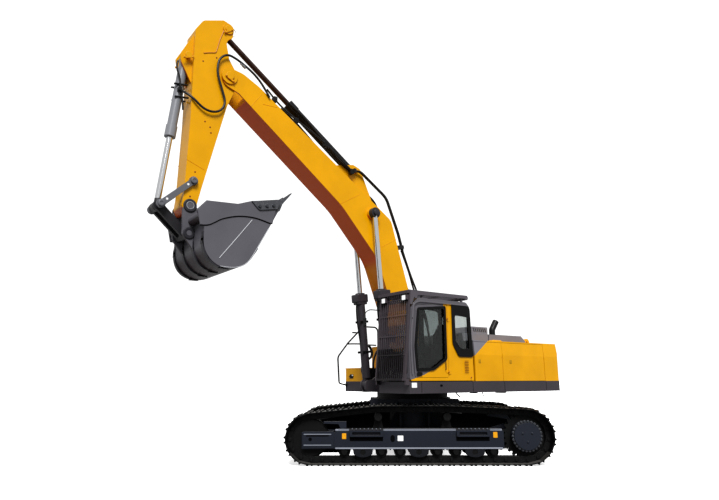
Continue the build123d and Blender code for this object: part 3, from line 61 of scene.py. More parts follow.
def linear(code):
    """Linear RGBA of an sRGB hex code: c/12.92 below 0.04045, and ((c + 0.055)/1.055)^2.4 above."""
    channels = np.array([int(code[i:i + 2], 16) for i in (1, 3, 5)]) / 255
    curve = np.where(channels <= 0.04045, channels / 12.92, ((channels + 0.055) / 1.055) ** 2.4)
    return (*curve.tolist(), 1.0)


def add(tree, kind, inputs=None, **settings):
    """Add one shader node: settings are its own options, inputs are values or links for its sockets."""
    node = tree.nodes.new("ShaderNode" + kind)
    for name, value in settings.items():
        setattr(node, name, value)
    for name, value in (inputs or {}).items():
        if isinstance(value, bpy.types.NodeSocket):
            tree.links.new(value, node.inputs[name])
        else:
            node.inputs[name].default_value = value
    return node


def new_tree(name):
    """An empty node material and its tree."""
    made = bpy.data.materials.new(name)
    made.use_nodes = True
    made.node_tree.nodes.clear()
    return made, made.node_tree


sky = bpy.data.worlds.new("white_sky")
sky.use_nodes = True
rays = add(sky.node_tree, "LightPath").outputs
fill = add(sky.node_tree, "MapRange", {0: rays["Is Diffuse Ray"], 3: 1.0, 4: 0.45}).outputs[0]
mirror = add(sky.node_tree, "MapRange", {0: rays["Is Glossy Ray"], 3: 1.0, 4: 0.6}).outputs[0]
level = add(sky.node_tree, "Math", {0: fill, 1: mirror}, operation="MULTIPLY").outputs[0]
white = sky.node_tree.nodes["Background"]
white.inputs["Color"].default_value = linear("#FFFFFF")
sky.node_tree.links.new(level, white.inputs["Strength"])
scene.world = sky

sun = bpy.data.objects.new("soft_sun", bpy.data.lights.new("soft_sun", "SUN"))
sun.data.energy = 3.2
sun.data.angle = math.radians(25)
sun.rotation_euler = (math.radians(47), 0, math.radians(151.5))
scene.collection.objects.link(sun)

floor_mesh = bpy.data.meshes.new("white_floor")
floor_mesh.from_pydata([(-400, -400, 0), (400, -400, 0), (400, 400, 0), (-400, 400, 0)], [], [(0, 1, 2, 3)])
floor_paint, tree = new_tree("white_floor_paint")
rays = add(tree, "LightPath").outputs
paper = add(tree, "BsdfDiffuse", {"Color": linear("#F4F4F4"), "Roughness": 1.0})
glow = add(tree, "Emission", {"Color": linear("#FFFFFF"), "Strength": 0.5})
lit = add(tree, "AddShader", {0: paper.outputs[0], 1: glow.outputs[0]})
dull = add(tree, "BsdfDiffuse", {"Color": linear("#A0A0A0"), "Roughness": 1.0})
bounce = add(tree, "Math", {0: rays["Is Diffuse Ray"], 1: rays["Is Glossy Ray"]},
             operation="MAXIMUM").outputs[0]
surface = add(tree, "MixShader", {0: bounce, 1: lit.outputs[0], 2: dull.outputs[0]})
add(tree, "OutputMaterial", {"Surface": surface.outputs[0]})
floor_mesh.materials.append(floor_paint)
floor = bpy.data.objects.new("white_floor", floor_mesh)
scene.collection.objects.link(floor)

camera = bpy.data.objects.new("camera", bpy.data.cameras.new("camera"))
camera.location = (9.05283, 10.60322, 1.67391)
camera.rotation_euler = [math.radians(turn) for turn in (102.32944, 0.15464, 144.45019)]
camera.data.lens = 29.609
camera.data.sensor_width = 36
scene.collection.objects.link(camera)
scene.camera = camera

# Undercarriage frame: the carbody, both track frames and the roller guards, welded of plate up to
# 30 mm thick, shot-blasted and sprayed in a dark blue-grey enamel. Mud and dust settle low and on top.


def enamel(name, colour, rough=0.36, areas=(), dust=0.10, below=None):
    """Sprayed enamel on plate: even gloss with faint clouds, dust where it faces up, soft edges.

    areas repaint the first colour: (colour, ((a, b, c, d), ...)) where every a x + b y + c z > d.
    The last argument is the colour that plate facing down takes: a painted reflection of its own warm paint,
    or painted shade."""
    made, tree = new_tree(name)
    place = add(tree, "TexCoord").outputs["Object"]
    tone = linear(colour)
    for second, lines in areas:
        inside = 1.0
        for a, b, c, d in lines:
            along = add(tree, "VectorMath", {0: place, 1: (a, b, c)},
                        operation="DOT_PRODUCT").outputs["Value"]
            test = add(tree, "Math", {0: along, 1: d}, operation="GREATER_THAN").outputs[0]
            inside = add(tree, "Math", {0: inside, 1: test}, operation="MULTIPLY").outputs[0]
        tone = add(tree, "Mix", {0: inside, 6: tone, 7: linear(second)}, data_type="RGBA").outputs[2]
    # Clouds 0.8 m across, a few percent darker, as a sprayed coat has
    clouds = add(tree, "TexNoise", {"Vector": place, "Scale": 1.3, "Detail": 4.0}).outputs["Fac"]
    depth = add(tree, "MapRange", {0: clouds, 1: 0.35, 2: 0.7, 3: 0.0, 4: 0.16}).outputs[0]
    tone = add(tree, "Mix", {0: depth, 6: tone, 7: linear("#141414")}, data_type="RGBA").outputs[2]
    # Dust lies on what faces up, thinner where the grain of 30 mm is low
    up = add(tree, "SeparateXYZ", {0: add(tree, "NewGeometry").outputs["Normal"]}).outputs[2]
    if below:
        # Painted light or shade on what faces down: the colour is mixed in by the normal alone
        down = add(tree, "MapRange", {0: up, 1: -0.22, 2: -0.5, 3: 0.0, 4: 1.0}).outputs[0]
        tone = add(tree, "Mix", {0: down, 6: tone, 7: linear(below)}, data_type="RGBA").outputs[2]
    flat = add(tree, "MapRange", {0: up, 1: 0.35, 2: 1.0, 3: 0.0, 4: dust}).outputs[0]
    grain = add(tree, "TexNoise", {"Vector": place, "Scale": 32.0, "Detail": 5.0}).outputs["Fac"]
    lying = add(tree, "Math", {0: flat, 1: grain}, operation="MULTIPLY").outputs[0]
    tone = add(tree, "Mix", {0: lying, 6: tone, 7: linear("#B5AB9B")}, data_type="RGBA").outputs[2]
    gloss = add(tree, "MapRange", {0: grain, 3: rough - 0.07, 4: rough + 0.09}).outputs[0]
    eased = add(tree, "Bevel", {"Radius": 0.006}, samples=4).outputs[0]
    peel = add(tree, "Bump", {"Strength": 0.06, "Distance": 0.002, "Height": grain,
                              "Normal": eased}).outputs[0]
    paint = add(tree, "BsdfPrincipled", {"Base Color": tone, "Roughness": gloss, "Normal": peel,
                                         "Specular IOR Level": 0.25, "Coat Weight": 0.04,
                                         "Coat Roughness": 0.12})
    add(tree, "OutputMaterial", {"Surface": paint.outputs[0]})
    return made


def dress(names, material):
    """Give CAD nodes their finished material."""
    for name in names:
        nodes[name].data.materials[0] = material


frame_enamel = enamel("blue_grey_frame_enamel", "#222630", rough=0.42, dust=0.2)
dress(("carbody", "track_frames"), frame_enamel)
# Painted shade: the roller guards take a much darker copy of the frame enamel, as they lie under the frames
dress(("roller_guards",), enamel("roller_guard_painted_shade", "#15171D", rough=0.5, dust=0.25))

# Rolled edges of the track frames: bars welded along the top between the steps and along the bottom,
# in a paler copy of the frames' enamel: a painted highlight where the edges catch the light
slew_rest = math.radians(-36.5)
chassis_turn = np.array([
    (math.cos(slew_rest), -math.sin(slew_rest), 0),
    (math.sin(slew_rest), math.cos(slew_rest), 0),
    (0, 0, 1),
])


def on_chassis(shape):
    """Turn a shape drawn along the tracks to where the undercarriage stands: point = turn point."""
    points, groups = shape
    return points @ chassis_turn.T, groups


def joined(*shapes):
    """Several shapes as one: their points in a row, with the faces' numbers moved on."""
    starts = np.cumsum([0] + [len(points) for points, groups in shapes[:-1]])
    groups = [group + start for (points, parts), start in zip(shapes, starts) for group in parts]
    return np.concatenate([points for points, parts in shapes]), groups


def mirrored(shape):
    """The shape and its mirror image across the centre plane: (x, y, z) and (x, -y, z)."""
    points, groups = shape
    return joined(shape, (points * (1, -1, 1), groups))


def piece(name, shape, material, body):
    """A finished piece: one mesh with its faces outward, its material and its body, if it rides on one."""
    points, groups = shape
    mesh = bpy.data.meshes.new(name)
    mesh.from_pydata(points.tolist(), [], [face for group in groups for face in group.tolist()])
    shell = bmesh.new()
    shell.from_mesh(mesh)
    bmesh.ops.recalc_face_normals(shell, faces=shell.faces)
    shell.to_mesh(mesh)
    shell.free()
    mesh.shade_smooth()
    mesh.set_sharp_from_angle(angle=math.radians(35))
    mesh.materials.append(material)
    made = bpy.data.objects.new(name, mesh)
    scene.collection.objects.link(made)
    if body:
        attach(made, body)
    return made


def sheet_faces(rows, columns, wrap=False, close=False):
    """Quads of a grid of points, row by row: wrap joins a row's ends, close the last row to the first."""
    i, j = np.meshgrid(np.arange(rows if close else rows - 1), np.arange(columns if wrap else columns - 1),
                       indexing="ij")
    k, m = (j + 1) % columns, (i + 1) % rows
    corners = (i * columns + j, i * columns + k, m * columns + k, m * columns + j)
    return np.stack(corners, axis=-1).reshape(-1, 4)


def inset(outline, distance):
    """A closed outline moved inward, corners by distance (n1 + n2) / (1 + n1.n2), n the edges' normals."""
    outline = np.array(outline, float)
    ahead = np.roll(outline, -1, axis=0) - outline
    ahead /= np.linalg.norm(ahead, axis=1)[:, None]
    normal = ahead @ np.array([(0.0, 1.0), (-1.0, 0.0)])
    area = np.sum(outline[:, 0] * np.roll(outline[:, 1], -1) - outline[:, 1] * np.roll(outline[:, 0], -1))
    before = np.roll(normal, 1, axis=0)
    share = 1 + np.sum(normal * before, axis=1)[:, None]
    return outline + math.copysign(distance, area) * (normal + before) / share


def slab(outline, low, high, across=1, edge=0.003):
    """A plate from low to high across one axis, its outline in the other two set in by edge at both faces."""
    outline = np.array(outline, float)
    inner = inset(outline, edge)
    rings = ((inner, low), (outline, low + edge), (outline, high - edge), (inner, high))
    points = np.concatenate([np.insert(ring, across, level, axis=1) for ring, level in rings])
    count = len(outline)
    caps = np.arange(count)[None]
    return points, [sheet_faces(4, count, wrap=True), caps, caps + 3 * count]


def on_frames(name, shape, material):
    """A piece drawn on the left track frame, and its mirror image on the right one."""
    return piece(name, on_chassis(mirrored(shape)), material, "undercarriage")


gauge_half = 1.37
frame_face = gauge_half + 0.23
# Painted highlight: a paler, duller copy of the enamel for edges that catch the light
highlight_edge_enamel = enamel("painted_highlight_frame_edge", "#858A95", rough=0.5, dust=0.2)
top_edge = [(1.57, 0.668), (frame_face + 0.003, 0.668), (frame_face + 0.003, 0.680), (1.57, 0.703)]
lip = [(1.57, 0.322), (frame_face + 0.017, 0.322), (frame_face + 0.017, 0.336), (frame_face - 0.004, 0.353),
       (1.57, 0.353)]
edges = [slab(top_edge, low, high, across=0)
         for low, high in ((-0.745, 0.70), (1.385, 1.66), (-1.66, -1.42))]
edges.append(slab(lip, -1.66, 1.66, across=0))
on_frames("frame_edges", joined(*edges), highlight_edge_enamel)

# Step treads: cleats of bent steel strip, eight across each of a frame's two steps, welded on and
# light with the same painted highlight as the frame's edges


def copies(shape, places, frames=None):
    """One small shape at many places: point(k, n) = place(k) + frame(k) point(n)."""
    points, groups = shape
    places = np.array(places, float)
    moved = points[None] if frames is None else np.einsum("kij,nj->kni", frames, points)
    shift = np.arange(len(places))[:, None, None] * len(points)
    return ((places[:, None] + moved).reshape(-1, 3),
            [(group + shift).reshape(-1, group.shape[1]) for group in groups])


cleats = copies(slab([(-0.012, 0.700), (0.012, 0.700), (0.008, 0.716), (-0.008, 0.716)], 1.602, 1.660), [
    (x, 0, 0) for first in (0.76, -1.36) for x in first + np.arange(8) * 0.08])
on_frames("step_cleats", cleats, highlight_edge_enamel)

# Idler yoke covers: steel plate over the front end of each frame, in the frame's enamel, with two
# rolled beads that take the edges' painted highlight


def oblong(left, low, right, high):
    """The four corners of an upright rectangle."""
    return [(left, low), (right, low), (right, high), (left, high)]


def soft(corners, radius, steps=5):
    """A closed outline with corners (1-t)^2 a + 2t(1-t) corner + t^2 b, a and b radius along its edges."""
    corners = np.array(corners, float)[:, None]
    back, ahead = np.roll(corners, 1, axis=0) - corners, np.roll(corners, -1, axis=0) - corners
    a = corners + radius * back / np.linalg.norm(back, axis=2)[..., None]
    b = corners + radius * ahead / np.linalg.norm(ahead, axis=2)[..., None]
    t = np.linspace(0, 1, steps)[None, :, None]
    return ((1 - t) ** 2 * a + 2 * t * (1 - t) * corners + t ** 2 * b).reshape(-1, 2)


cover = slab(soft([(1.685, 0.335), (2.317, 0.345), (2.317, 0.655), (1.685, 0.66)], 0.03), 1.597, 1.612)
beads = [slab(soft(oblong(1.74, z, 2.29, z + 0.02), 0.006), 1.609, 1.620) for z in (0.592, 0.385)]
on_frames("yoke_covers", cover, frame_enamel)
on_frames("yoke_beads", joined(*beads), highlight_edge_enamel)

# Openings in the frames' sides: a slot and a hole in the yoke cover, the oval that lets the grease
# gun in, and the gap under each step. Each is a thin near-black sheet on the plate: painted shade of the dark
# inside


def patterned(name, kind, look, first, second, finish, relief=None, rough=None, **options):
    """A material whose colour runs from first to second over one texture in the object's own space.

    kind is the texture, look its sockets and finish the shader's even values. relief is the strength and
    depth of the bumps that the texture raises, and rough the roughness at its two ends."""
    made, tree = new_tree(name)
    place = add(tree, "TexCoord").outputs["Object"]
    texture = add(tree, "Tex" + kind, {"Vector": place, **look}, **options)
    share = texture.outputs["Distance" if kind == "Voronoi" else "Fac"]
    tone = add(tree, "Mix", {0: share, 6: linear(first), 7: linear(second)}, data_type="RGBA").outputs[2]
    sockets = {"Base Color": tone, **finish}
    if rough:
        sockets["Roughness"] = add(tree, "MapRange", {0: share, 3: rough[0], 4: rough[1]}).outputs[0]
    if relief:
        bumps = {"Strength": relief[0], "Distance": relief[1], "Height": share}
        sockets["Normal"] = add(tree, "Bump", bumps).outputs[0]
    add(tree, "OutputMaterial", {"Surface": add(tree, "BsdfPrincipled", sockets).outputs[0]})
    return made


def circle(radius, turn):
    """Points round a circle: radius (cos t, sin t)."""
    return radius * np.stack((np.cos(turn), np.sin(turn)), axis=1)


def rounded(x, z, width, height, radius, steps=5):
    """Outline of a plate with round corners: quarter arcs about four corner centres."""
    angle = (np.linspace(0, np.pi / 2, steps) + np.arange(4)[:, None] * np.pi / 2).ravel()
    corner = np.repeat(oblong(1, 1, -1, -1), steps, axis=0)
    return (x, z) + corner * (width / 2 - radius, height / 2 - radius) + circle(radius, angle)


def turned(profile, centre, sides=24, axis=(0, 1, 0)):
    """A shape turned on a lathe: point(s, t) = centre + along(s) axis + radius(s) (cos t u + sin t v)."""
    axis = np.array(axis, float) / np.linalg.norm(axis)
    u = np.cross(axis, (0, 0, 1) if abs(axis[2]) < 0.9 else (0, 1, 0))
    u /= np.linalg.norm(u)
    angle = np.arange(sides) * 2 * np.pi / sides
    ring = np.cos(angle)[:, None] * u + np.sin(angle)[:, None] * np.cross(axis, u)
    radius, along = np.array(profile, float).T
    points = np.array(centre) + along[:, None, None] * axis + radius[:, None, None] * ring
    caps = np.arange(sides)[None]
    last = caps + sides * (len(profile) - 1)
    return points.reshape(-1, 3), [sheet_faces(len(profile), sides, wrap=True), caps, last]


# Painted shade: near-black with faint clouds 30 mm across and no gloss, put where openings, gaps and seams
# lie dark
shade_and_seam_black = patterned("painted_shade_and_seam_black", "Noise", {"Scale": 30.0}, "#050506", "#101014",
                       {"Roughness": 0.95, "Specular IOR Level": 0.05})
slot = slab(soft(oblong(1.79, 0.561, 2.25, 0.585), 0.01), 1.608, 1.6135, edge=0.0005)
spot = turned([(0.034, 0), (0.034, 0.002)], (2.161, 1.6115, 0.507))
oval = slab(rounded(0.518, 0.519, 0.085, 0.13, 0.042), frame_face - 0.001, frame_face + 0.0015, edge=0.0005)
under_step = [slab(oblong(low, 0.47, low + 0.66, 0.552), 1.5995, 1.6015, edge=0.0005)
              for low in (0.71, -1.405)]
on_frames("frame_opening_shade", joined(slot, spot, oval, *under_step), shade_and_seam_black)

# White plate beside the oval: thin aluminium sheet, cut out and powder-coated, held by a rivet at
# each corner
# Powder coat lies even, a clean and nearly matt white
white_coat = enamel("white_powder_coat", "#F2F2F2", rough=0.5, dust=0.05)
plates = slab(rounded(0.362, 0.523, 0.115, 0.105, 0.008), frame_face, frame_face + 0.004, edge=0.001)
rivet_places = [(0.362 + x, frame_face + 0.0035, 0.523 + z) for x in (-0.05, 0.05) for z in (-0.045, 0.045)]
rivets = copies(turned([(0.006, 0), (0.004, 0.002)], (0, 0, 0), 8), rivet_places)
on_frames("blank_plates", joined(plates, rivets), white_coat)

# Amber reflectors near both ends of the frames: pressed acrylic with small prisms behind its face,
# stuck to the plate
# The prisms, 9 mm across, break the colour up under a clear gloss
amber = patterned("amber_reflector_acrylic", "Voronoi", {"Scale": 110.0}, "#F5B416", "#D9900A",
                  {"Roughness": 0.15, "Coat Weight": 0.5}, relief=(0.5, 0.004))
reflector = slab(rounded(0, 0, 0.085, 0.11, 0.012), 0, 0.012)
reflectors = copies(reflector, [(1.484, frame_face, 0.565), (-1.521, frame_face, 0.587)])
on_frames("amber_reflectors", reflectors, amber)

# Chain guides over the idlers: folded steel plate welded to the tops of the frames, in the same
# enamel
guide = [(1.44, 0.70), (1.44, 0.848), (1.90, 0.848), (1.90, 0.80), (1.60, 0.79), (1.56, 0.70)]
on_frames("chain_guides", slab(guide, 1.49, 1.55), frame_enamel)

# Dark plates on the inner side of each frame, above it and behind the idler: painted shade in the
# near-black material, put where the chain's loop lies in shade
shade_plates = [slab(outline, 1.125, 1.14) for outline in (
    [(0.55, 0.66), (1.95, 0.66), (1.98, 0.86), (1.40, 0.945), (0.90, 1.00), (0.55, 1.00)],
    oblong(1.40, 0.20, 2.00, 0.36),
    [(-0.60, 0.66), (-1.90, 0.66), (-1.86, 0.86), (-1.40, 0.935), (-0.60, 1.00)])]
on_frames("chain_loop_painted_shade", joined(*shade_plates), shade_and_seam_black)

# Rollers, idlers and sprockets: cast and forged steel, black with oxide and rubbed brighter in
# patches. They turn on greased bushes between the frames' plates


def forged(name, dark, bright, share, worn_and_sky_glint=None):
    """Forged steel with oxide: dark scale with brighter rubbed patches 40 mm across.

    share is how much of them shows; the last argument is the colour of what faces up: steel that grit has
    scrubbed of its scale, lightened further as a painted glint of the sky."""
    made, tree = new_tree(name)
    place = add(tree, "TexCoord").outputs["Object"]
    patches = add(tree, "TexNoise", {"Vector": place, "Scale": 24.0, "Detail": 6.0,
                                     "Roughness": 0.65}).outputs["Fac"]
    rubbed = add(tree, "MapRange", {0: patches, 1: 0.62 - share, 2: 0.9 - share, 3: 0.0, 4: 1.0}).outputs[0]
    tone = add(tree, "Mix", {0: rubbed, 6: linear(dark), 7: linear(bright)}, data_type="RGBA").outputs[2]
    if worn_and_sky_glint:
        up = add(tree, "SeparateXYZ", {0: add(tree, "NewGeometry").outputs["Normal"]}).outputs[2]
        scoured_and_sky_glint = add(tree, "MapRange", {0: up, 1: 0.55, 2: 0.95, 3: 0.0, 4: 0.55}).outputs[0]
        tone = add(tree, "Mix", {0: scoured_and_sky_glint, 6: tone, 7: linear(worn_and_sky_glint)}, data_type="RGBA").outputs[2]
    gloss = add(tree, "MapRange", {0: patches, 3: 0.35, 4: 0.72}).outputs[0]
    eased = add(tree, "Bevel", {"Radius": 0.004}, samples=4).outputs[0]
    pits = add(tree, "Bump", {"Strength": 0.25, "Distance": 0.003, "Height": patches,
                              "Normal": eased}).outputs[0]
    surface = add(tree, "BsdfPrincipled", {"Base Color": tone, "Roughness": gloss, "Metallic": 0.55,
                                           "Normal": pits})
    add(tree, "OutputMaterial", {"Surface": surface.outputs[0]})
    return made


wheel_steel = forged("forged_wheel_steel", "#0B0B0D", "#26272B", 0.03)
dress(("idlers", "sprockets", "bottom_rollers", "carrier_rollers"), wheel_steel)

# Final drives: cast cases in blue-grey enamel, each with a flat round cover that a ring of
# zinc-plated bolts holds round its rim, and three plugs


def bolt(size, axis=(0, 1, 0)):
    """A hexagon bolt head on its washer, size across the corners, standing on the origin along axis."""
    washer = turned([(0.60 * size, 0), (0.60 * size, 0.08 * size), (0.57 * size, 0.1 * size)], (0, 0, 0), 16,
                    axis=axis)
    head = turned([(0.5 * size, 0.1 * size), (0.5 * size, 0.42 * size), (0.42 * size, 0.5 * size)],
                  (0, 0, 0), 6, axis=axis)
    return joined(washer, head)


def at_y(y, line):
    """A line drawn in side view, (x, z), as points in the plane at y."""
    return np.insert(np.array(line, float), 1, y, axis=1)


drive_enamel = enamel("blue_grey_drive_enamel", "#262A34", rough=0.40, dust=0.15)
dress(("final_drives",), drive_enamel)
# Zinc plate gone dull in clouds 20 mm across, with a low metal sheen
zinc = patterned("zinc_plated_bolts", "Noise", {"Scale": 45.0, "Detail": 4.0}, "#2E3034", "#55585C",
                 {"Metallic": 0.6}, rough=(0.35, 0.6))
drive_centre, rim_radius, plug_radius = (-2.16, 0.557), 0.283, 0.11
rim_places = at_y(gauge_half + 0.2, drive_centre + circle(rim_radius, np.arange(26) * 2 * np.pi / 26))
on_frames("drive_cover_bolts", copies(bolt(0.046), rim_places), zinc)
plug_places = at_y(gauge_half + 0.234, drive_centre + circle(plug_radius, np.array((0.5, 2.6, 4.7))))
on_frames("drive_plugs", copies(bolt(0.04), plug_places), drive_enamel)

# Track chains: forged links on pins, with rolled triple-grouser shoes, each held by four bolts. The
# steel is bare: dark oxide, with what faces up scrubbed grey by grit and lightened by a painted glint of the
# sky
shoe_steel = forged("shoe_steel_worn_and_sky_glint", "#0E0E10", "#2E2D2C", 0.02, worn_and_sky_glint="#8C8985")
dress(("track_loop_left", "track_loop_right"), shoe_steel)
shoe_count = 53
pin_depth = 0.104
wheels = np.array([
    (-2.160, 0.557, 0.557 - pin_depth),
    (-0.600, 1.182 - pin_depth - 0.150, 0.150),
    (0.800, 1.182 - pin_depth - 0.150, 0.150),
    (2.170, 0.520, 0.520 - pin_depth),
])


def chain_line(start, outward):
    """Even places and headings along the pins' line: arcs round the wheels joined by straight runs.

    A run from wheel 0 to 1 leaves both at the angle heading - asin((r0 - r1) / length) + 90 degrees."""
    ahead = np.roll(wheels, -1, axis=0) - wheels
    run = np.hypot(ahead[:, 0], ahead[:, 1])
    leave = np.arctan2(ahead[:, 1], ahead[:, 0]) + np.pi / 2 - np.arcsin(-ahead[:, 2] / run)
    arrive = np.roll(leave, 1)
    turn = (arrive - leave) % (2 * np.pi)
    angle = arrive[:, None] - turn[:, None] * np.linspace(0, 1, 60)
    x = (wheels[:, :1] + wheels[:, 2:] * np.cos(angle)).ravel()
    z = (wheels[:, 1:2] + wheels[:, 2:] * np.sin(angle)).ravel()
    x, z = np.append(x, x[0]), np.append(z, z[0])
    length = np.append(0, np.cumsum(np.hypot(np.diff(x), np.diff(z))))
    at = (start + np.arange(shoe_count)) / shoe_count * length[-1]
    place = np.stack((np.interp(at, length, x), np.interp(at, length, z)), axis=1)
    ends = [np.stack((np.interp((at + d) % length[-1], length, x),
                      np.interp((at + d) % length[-1], length, z)), 1)
            for d in (-0.02, 0.02)]
    way = (ends[1] - ends[0]) / np.linalg.norm(ends[1] - ends[0], axis=1)[:, None]
    out = np.stack((-way[:, 1], way[:, 0]), axis=1)
    place = place + outward * out
    frames = np.zeros((shoe_count, 3, 3))
    frames[:, 0, 0], frames[:, 2, 0] = way.T
    frames[:, 1, 1] = 1
    frames[:, 0, 2], frames[:, 2, 2] = out.T
    return place, frames


link_places, link_frames = chain_line(0.0, 0.0)
link_outline = [(-0.055, -0.05), (0.02, -0.062), (0.12, -0.058), (0.165, -0.03), (0.165, 0.03), (0.12, 0.05),
                (0.02, 0.052), (-0.055, 0.04)]
link_thickness, strand = 0.016, 0.093
link = slab(link_outline, 0.0, link_thickness)
left_end = turned([(0.034, 0), (0.034, 0.02), (0.028, 0.026)], (0, 0.014, 0), 12)
right_end = (left_end[0] * (1, -1, 1), left_end[1])
chain_parts = [copies(part, at_y(centre + across, link_places), link_frames)
               for centre in (gauge_half, -gauge_half)
               for part, across in ((link, -strand - link_thickness), (link, strand), (left_end, strand),
                                    (right_end, -strand))]
piece("chain_links", on_chassis(joined(*chain_parts)), wheel_steel, "undercarriage")
bolt_places, bolt_frames = chain_line(0.41, pin_depth - 0.028)
bolt_parts = [copies(bolt(0.034, axis=(0, 0, 1)), at_y(centre + y, bolt_places) + d * bolt_frames[:, :, 0],
                     bolt_frames)
              for centre in (gauge_half, -gauge_half) for y in (-0.069, 0.069) for d in (-0.03, 0.03)]
piece("shoe_bolts", on_chassis(joined(*bolt_parts)), wheel_steel, "undercarriage")

# Slewing ring and deck: the ring is machined steel, the deck is welded plate with bent skirts, in a
# charcoal enamel that has a violet cast. The skirt's lengths meet in narrow seams
charcoal = enamel("charcoal_enamel", "#454146", rough=0.42, dust=0.25)
dress(("deck",), charcoal)
dress(("slew_ring",), wheel_steel)
deck_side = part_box("deck")[1].y
skirt = (deck_side - 0.001, deck_side + 0.0015)
skirt_seams = [slab(oblong(x, 1.41, x + 0.009, 1.615), *skirt, edge=0.0005)
               for x in (1.02, -0.43, -1.43, -2.888)]
# The seams are dark joints; the hole is a near-black oval, painted shade where the skirt is open
skirt_hole = slab(rounded(0.492, 1.543, 0.07, 0.045, 0.02), *skirt, edge=0.0005)
piece("skirt_seams", mirrored(joined(*skirt_seams, skirt_hole)), shade_and_seam_black, "upper")
skirt_lamp = slab(rounded(1.223, 1.554, 0.135, 0.10, 0.012), deck_side, deck_side + 0.012)
piece("skirt_plate", skirt_lamp, white_coat, "upper")

# Hose ends and clips that hang below the deck behind the ring: black enamelled steel, screwed to
# the deck's underside


def tube(path, radius, sides=10, across=(0, 1, 0)):
    """A pipe: point(s, t) = path(s) + radius (cos t u(s) + sin t v(s)), with u and v square to the path."""
    path, across = np.array(path, float), np.array(across, float)
    heading = np.gradient(path, axis=0)
    heading /= np.linalg.norm(heading, axis=1)[:, None]
    u = across - (heading @ across)[:, None] * heading
    u /= np.linalg.norm(u, axis=1)[:, None]
    v = np.cross(heading, u)
    t = (np.arange(sides) * 2 * np.pi / sides)[None, :, None]
    points = path[:, None] + radius * (np.cos(t) * u[:, None] + np.sin(t) * v[:, None])
    caps = np.arange(sides)[None]
    return points.reshape(-1, 3), [sheet_faces(len(path), sides, wrap=True), caps,
                                   caps + sides * (len(path) - 1)]


def smooth_line(corners):
    """Points along the NURBS line that has these control points and ends on the first and the last."""
    curve = bpy.data.curves.new("line", "CURVE")
    curve.dimensions = "3D"
    curve.resolution_u = 6
    spline = curve.splines.new("NURBS")
    spline.points.add(len(corners) - 1)
    spline.points.foreach_set("co", np.insert(np.array(corners, float), 3, 1.0, axis=1).ravel())
    spline.order_u = 3
    spline.use_endpoint_u = True
    holder = bpy.data.objects.new("line", curve)
    mesh = bpy.data.meshes.new_from_object(holder)
    points = np.empty(len(mesh.vertices) * 3, np.float32)
    mesh.vertices.foreach_get("co", points)
    bpy.data.objects.remove(holder)
    bpy.data.meshes.remove(mesh)
    bpy.data.curves.remove(curve)
    return points.reshape(-1, 3).astype(float)


def side_curve(line):
    """The NURBS line of control points drawn in side view, as (x, z)."""
    return smooth_line(at_y(0, line))[:, [0, 2]]


# Satin black: only its soft highlights show the form
black_enamel = enamel("satin_black_enamel", "#131315", rough=0.45, dust=0.1)
drops = [tube(at_y(1.2, side_curve(line)), radius, 8) for line, radius in (
    ([(-0.20, 1.42), (-0.21, 1.37), (-0.27, 1.33), (-0.32, 1.30)], 0.014),
    ([(-1.02, 1.42), (-1.02, 1.36), (-1.05, 1.30)], 0.010),
)]
clips = (slab(rounded(-1.62, 1.385, 0.16, 0.05, 0.02), 1.10, 1.30),
         slab(rounded(-0.72, 1.385, 0.10, 0.04, 0.015), 1.15, 1.30))
piece("deck_drain_fittings", joined(*drops, *clips), black_enamel, "upper")

# Counterweight: one iron casting, filled, ground and sprayed yellow. The tanks and the toolbox are
# welded of sheet steel and sprayed the same
warm = "#D8601C"
# Glossy yellow. What faces down takes an orange tone: a painted reflection, as if thrown back by the paint
# below it
yellow = enamel("machine_yellow_enamel", "#E2A400", rough=0.33, dust=0.05, below=warm)
dress(("counterweight", "tanks", "toolbox", "toolbox_lid"), yellow)

# Engine house: pressed sheet steel on a welded frame. The walls and doors are yellow with a grey
# wedge behind the cab, and all that stands above the roof's edge is light grey
light_grey = "#7E7C82"
grey_enamel = enamel("light_grey_enamel", light_grey, rough=0.38, dust=0.15)
wedge = (light_grey, ((0.714, 0.0, 1.0, 1.80),))
side_enamel = enamel("yellow_and_grey_enamel", "#E2A400", rough=0.33, dust=0.05,
                     areas=(wedge, (light_grey, ((0.0, 0.0, 1.0, 2.506),))))
dress(("engine_house", "left_front_door", "left_rear_door", "pump_door"), side_enamel)
dress(("engine_hood",), grey_enamel)
dress(("exhaust",), black_enamel)
dress(("engine",), forged("cast_engine_iron", "#2A2B2C", "#4A4B4C", 0.05))
# Painted shade: near-black sheets behind the hood's louvres, where their slots lie dark
louvre_shades = [slab(oblong(-1.43, 2.72, -0.95, 2.83), y, y + 0.003, edge=0.001) for y in (1.003, 0.41)]
piece("louvre_painted_shade", joined(*louvre_shades), shade_and_seam_black, "upper")
bulge = slab([(-1.50, 2.485), (-1.14, 2.485), (-1.20, 2.530), (-1.46, 2.530)], 1.30, 1.44, edge=0.012)
piece("roof_bulge", bulge, yellow, "upper")

# Door latches: a pressed steel cup with a paddle in it, riveted into each side door and sprayed a
# darker yellow
latch_enamel = enamel("latch_enamel", "#B98A10", rough=0.4)
for name, way in (("left_front_door", 1), ("left_rear_door", 1), ("pump_door", -1)):
    low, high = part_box(name)
    face = high.y if way > 0 else low.y
    near = -1.664 if name == "left_rear_door" else high.x - 0.14
    cup = slab(rounded(near, 2.049, 0.075, 0.085, 0.015), face - 0.002, face + 0.004, edge=0.002)
    paddle = slab(rounded(near, 2.04, 0.045, 0.05, 0.008), face + 0.003, face + 0.010, edge=0.003)
    if way < 0:
        cup, paddle = [(points * (1, -1, 1) + (0, 2 * face, 0), groups) for points, groups in (cup, paddle)]
    piece(f"{name}_latch", joined(cup, paddle), latch_enamel, name)
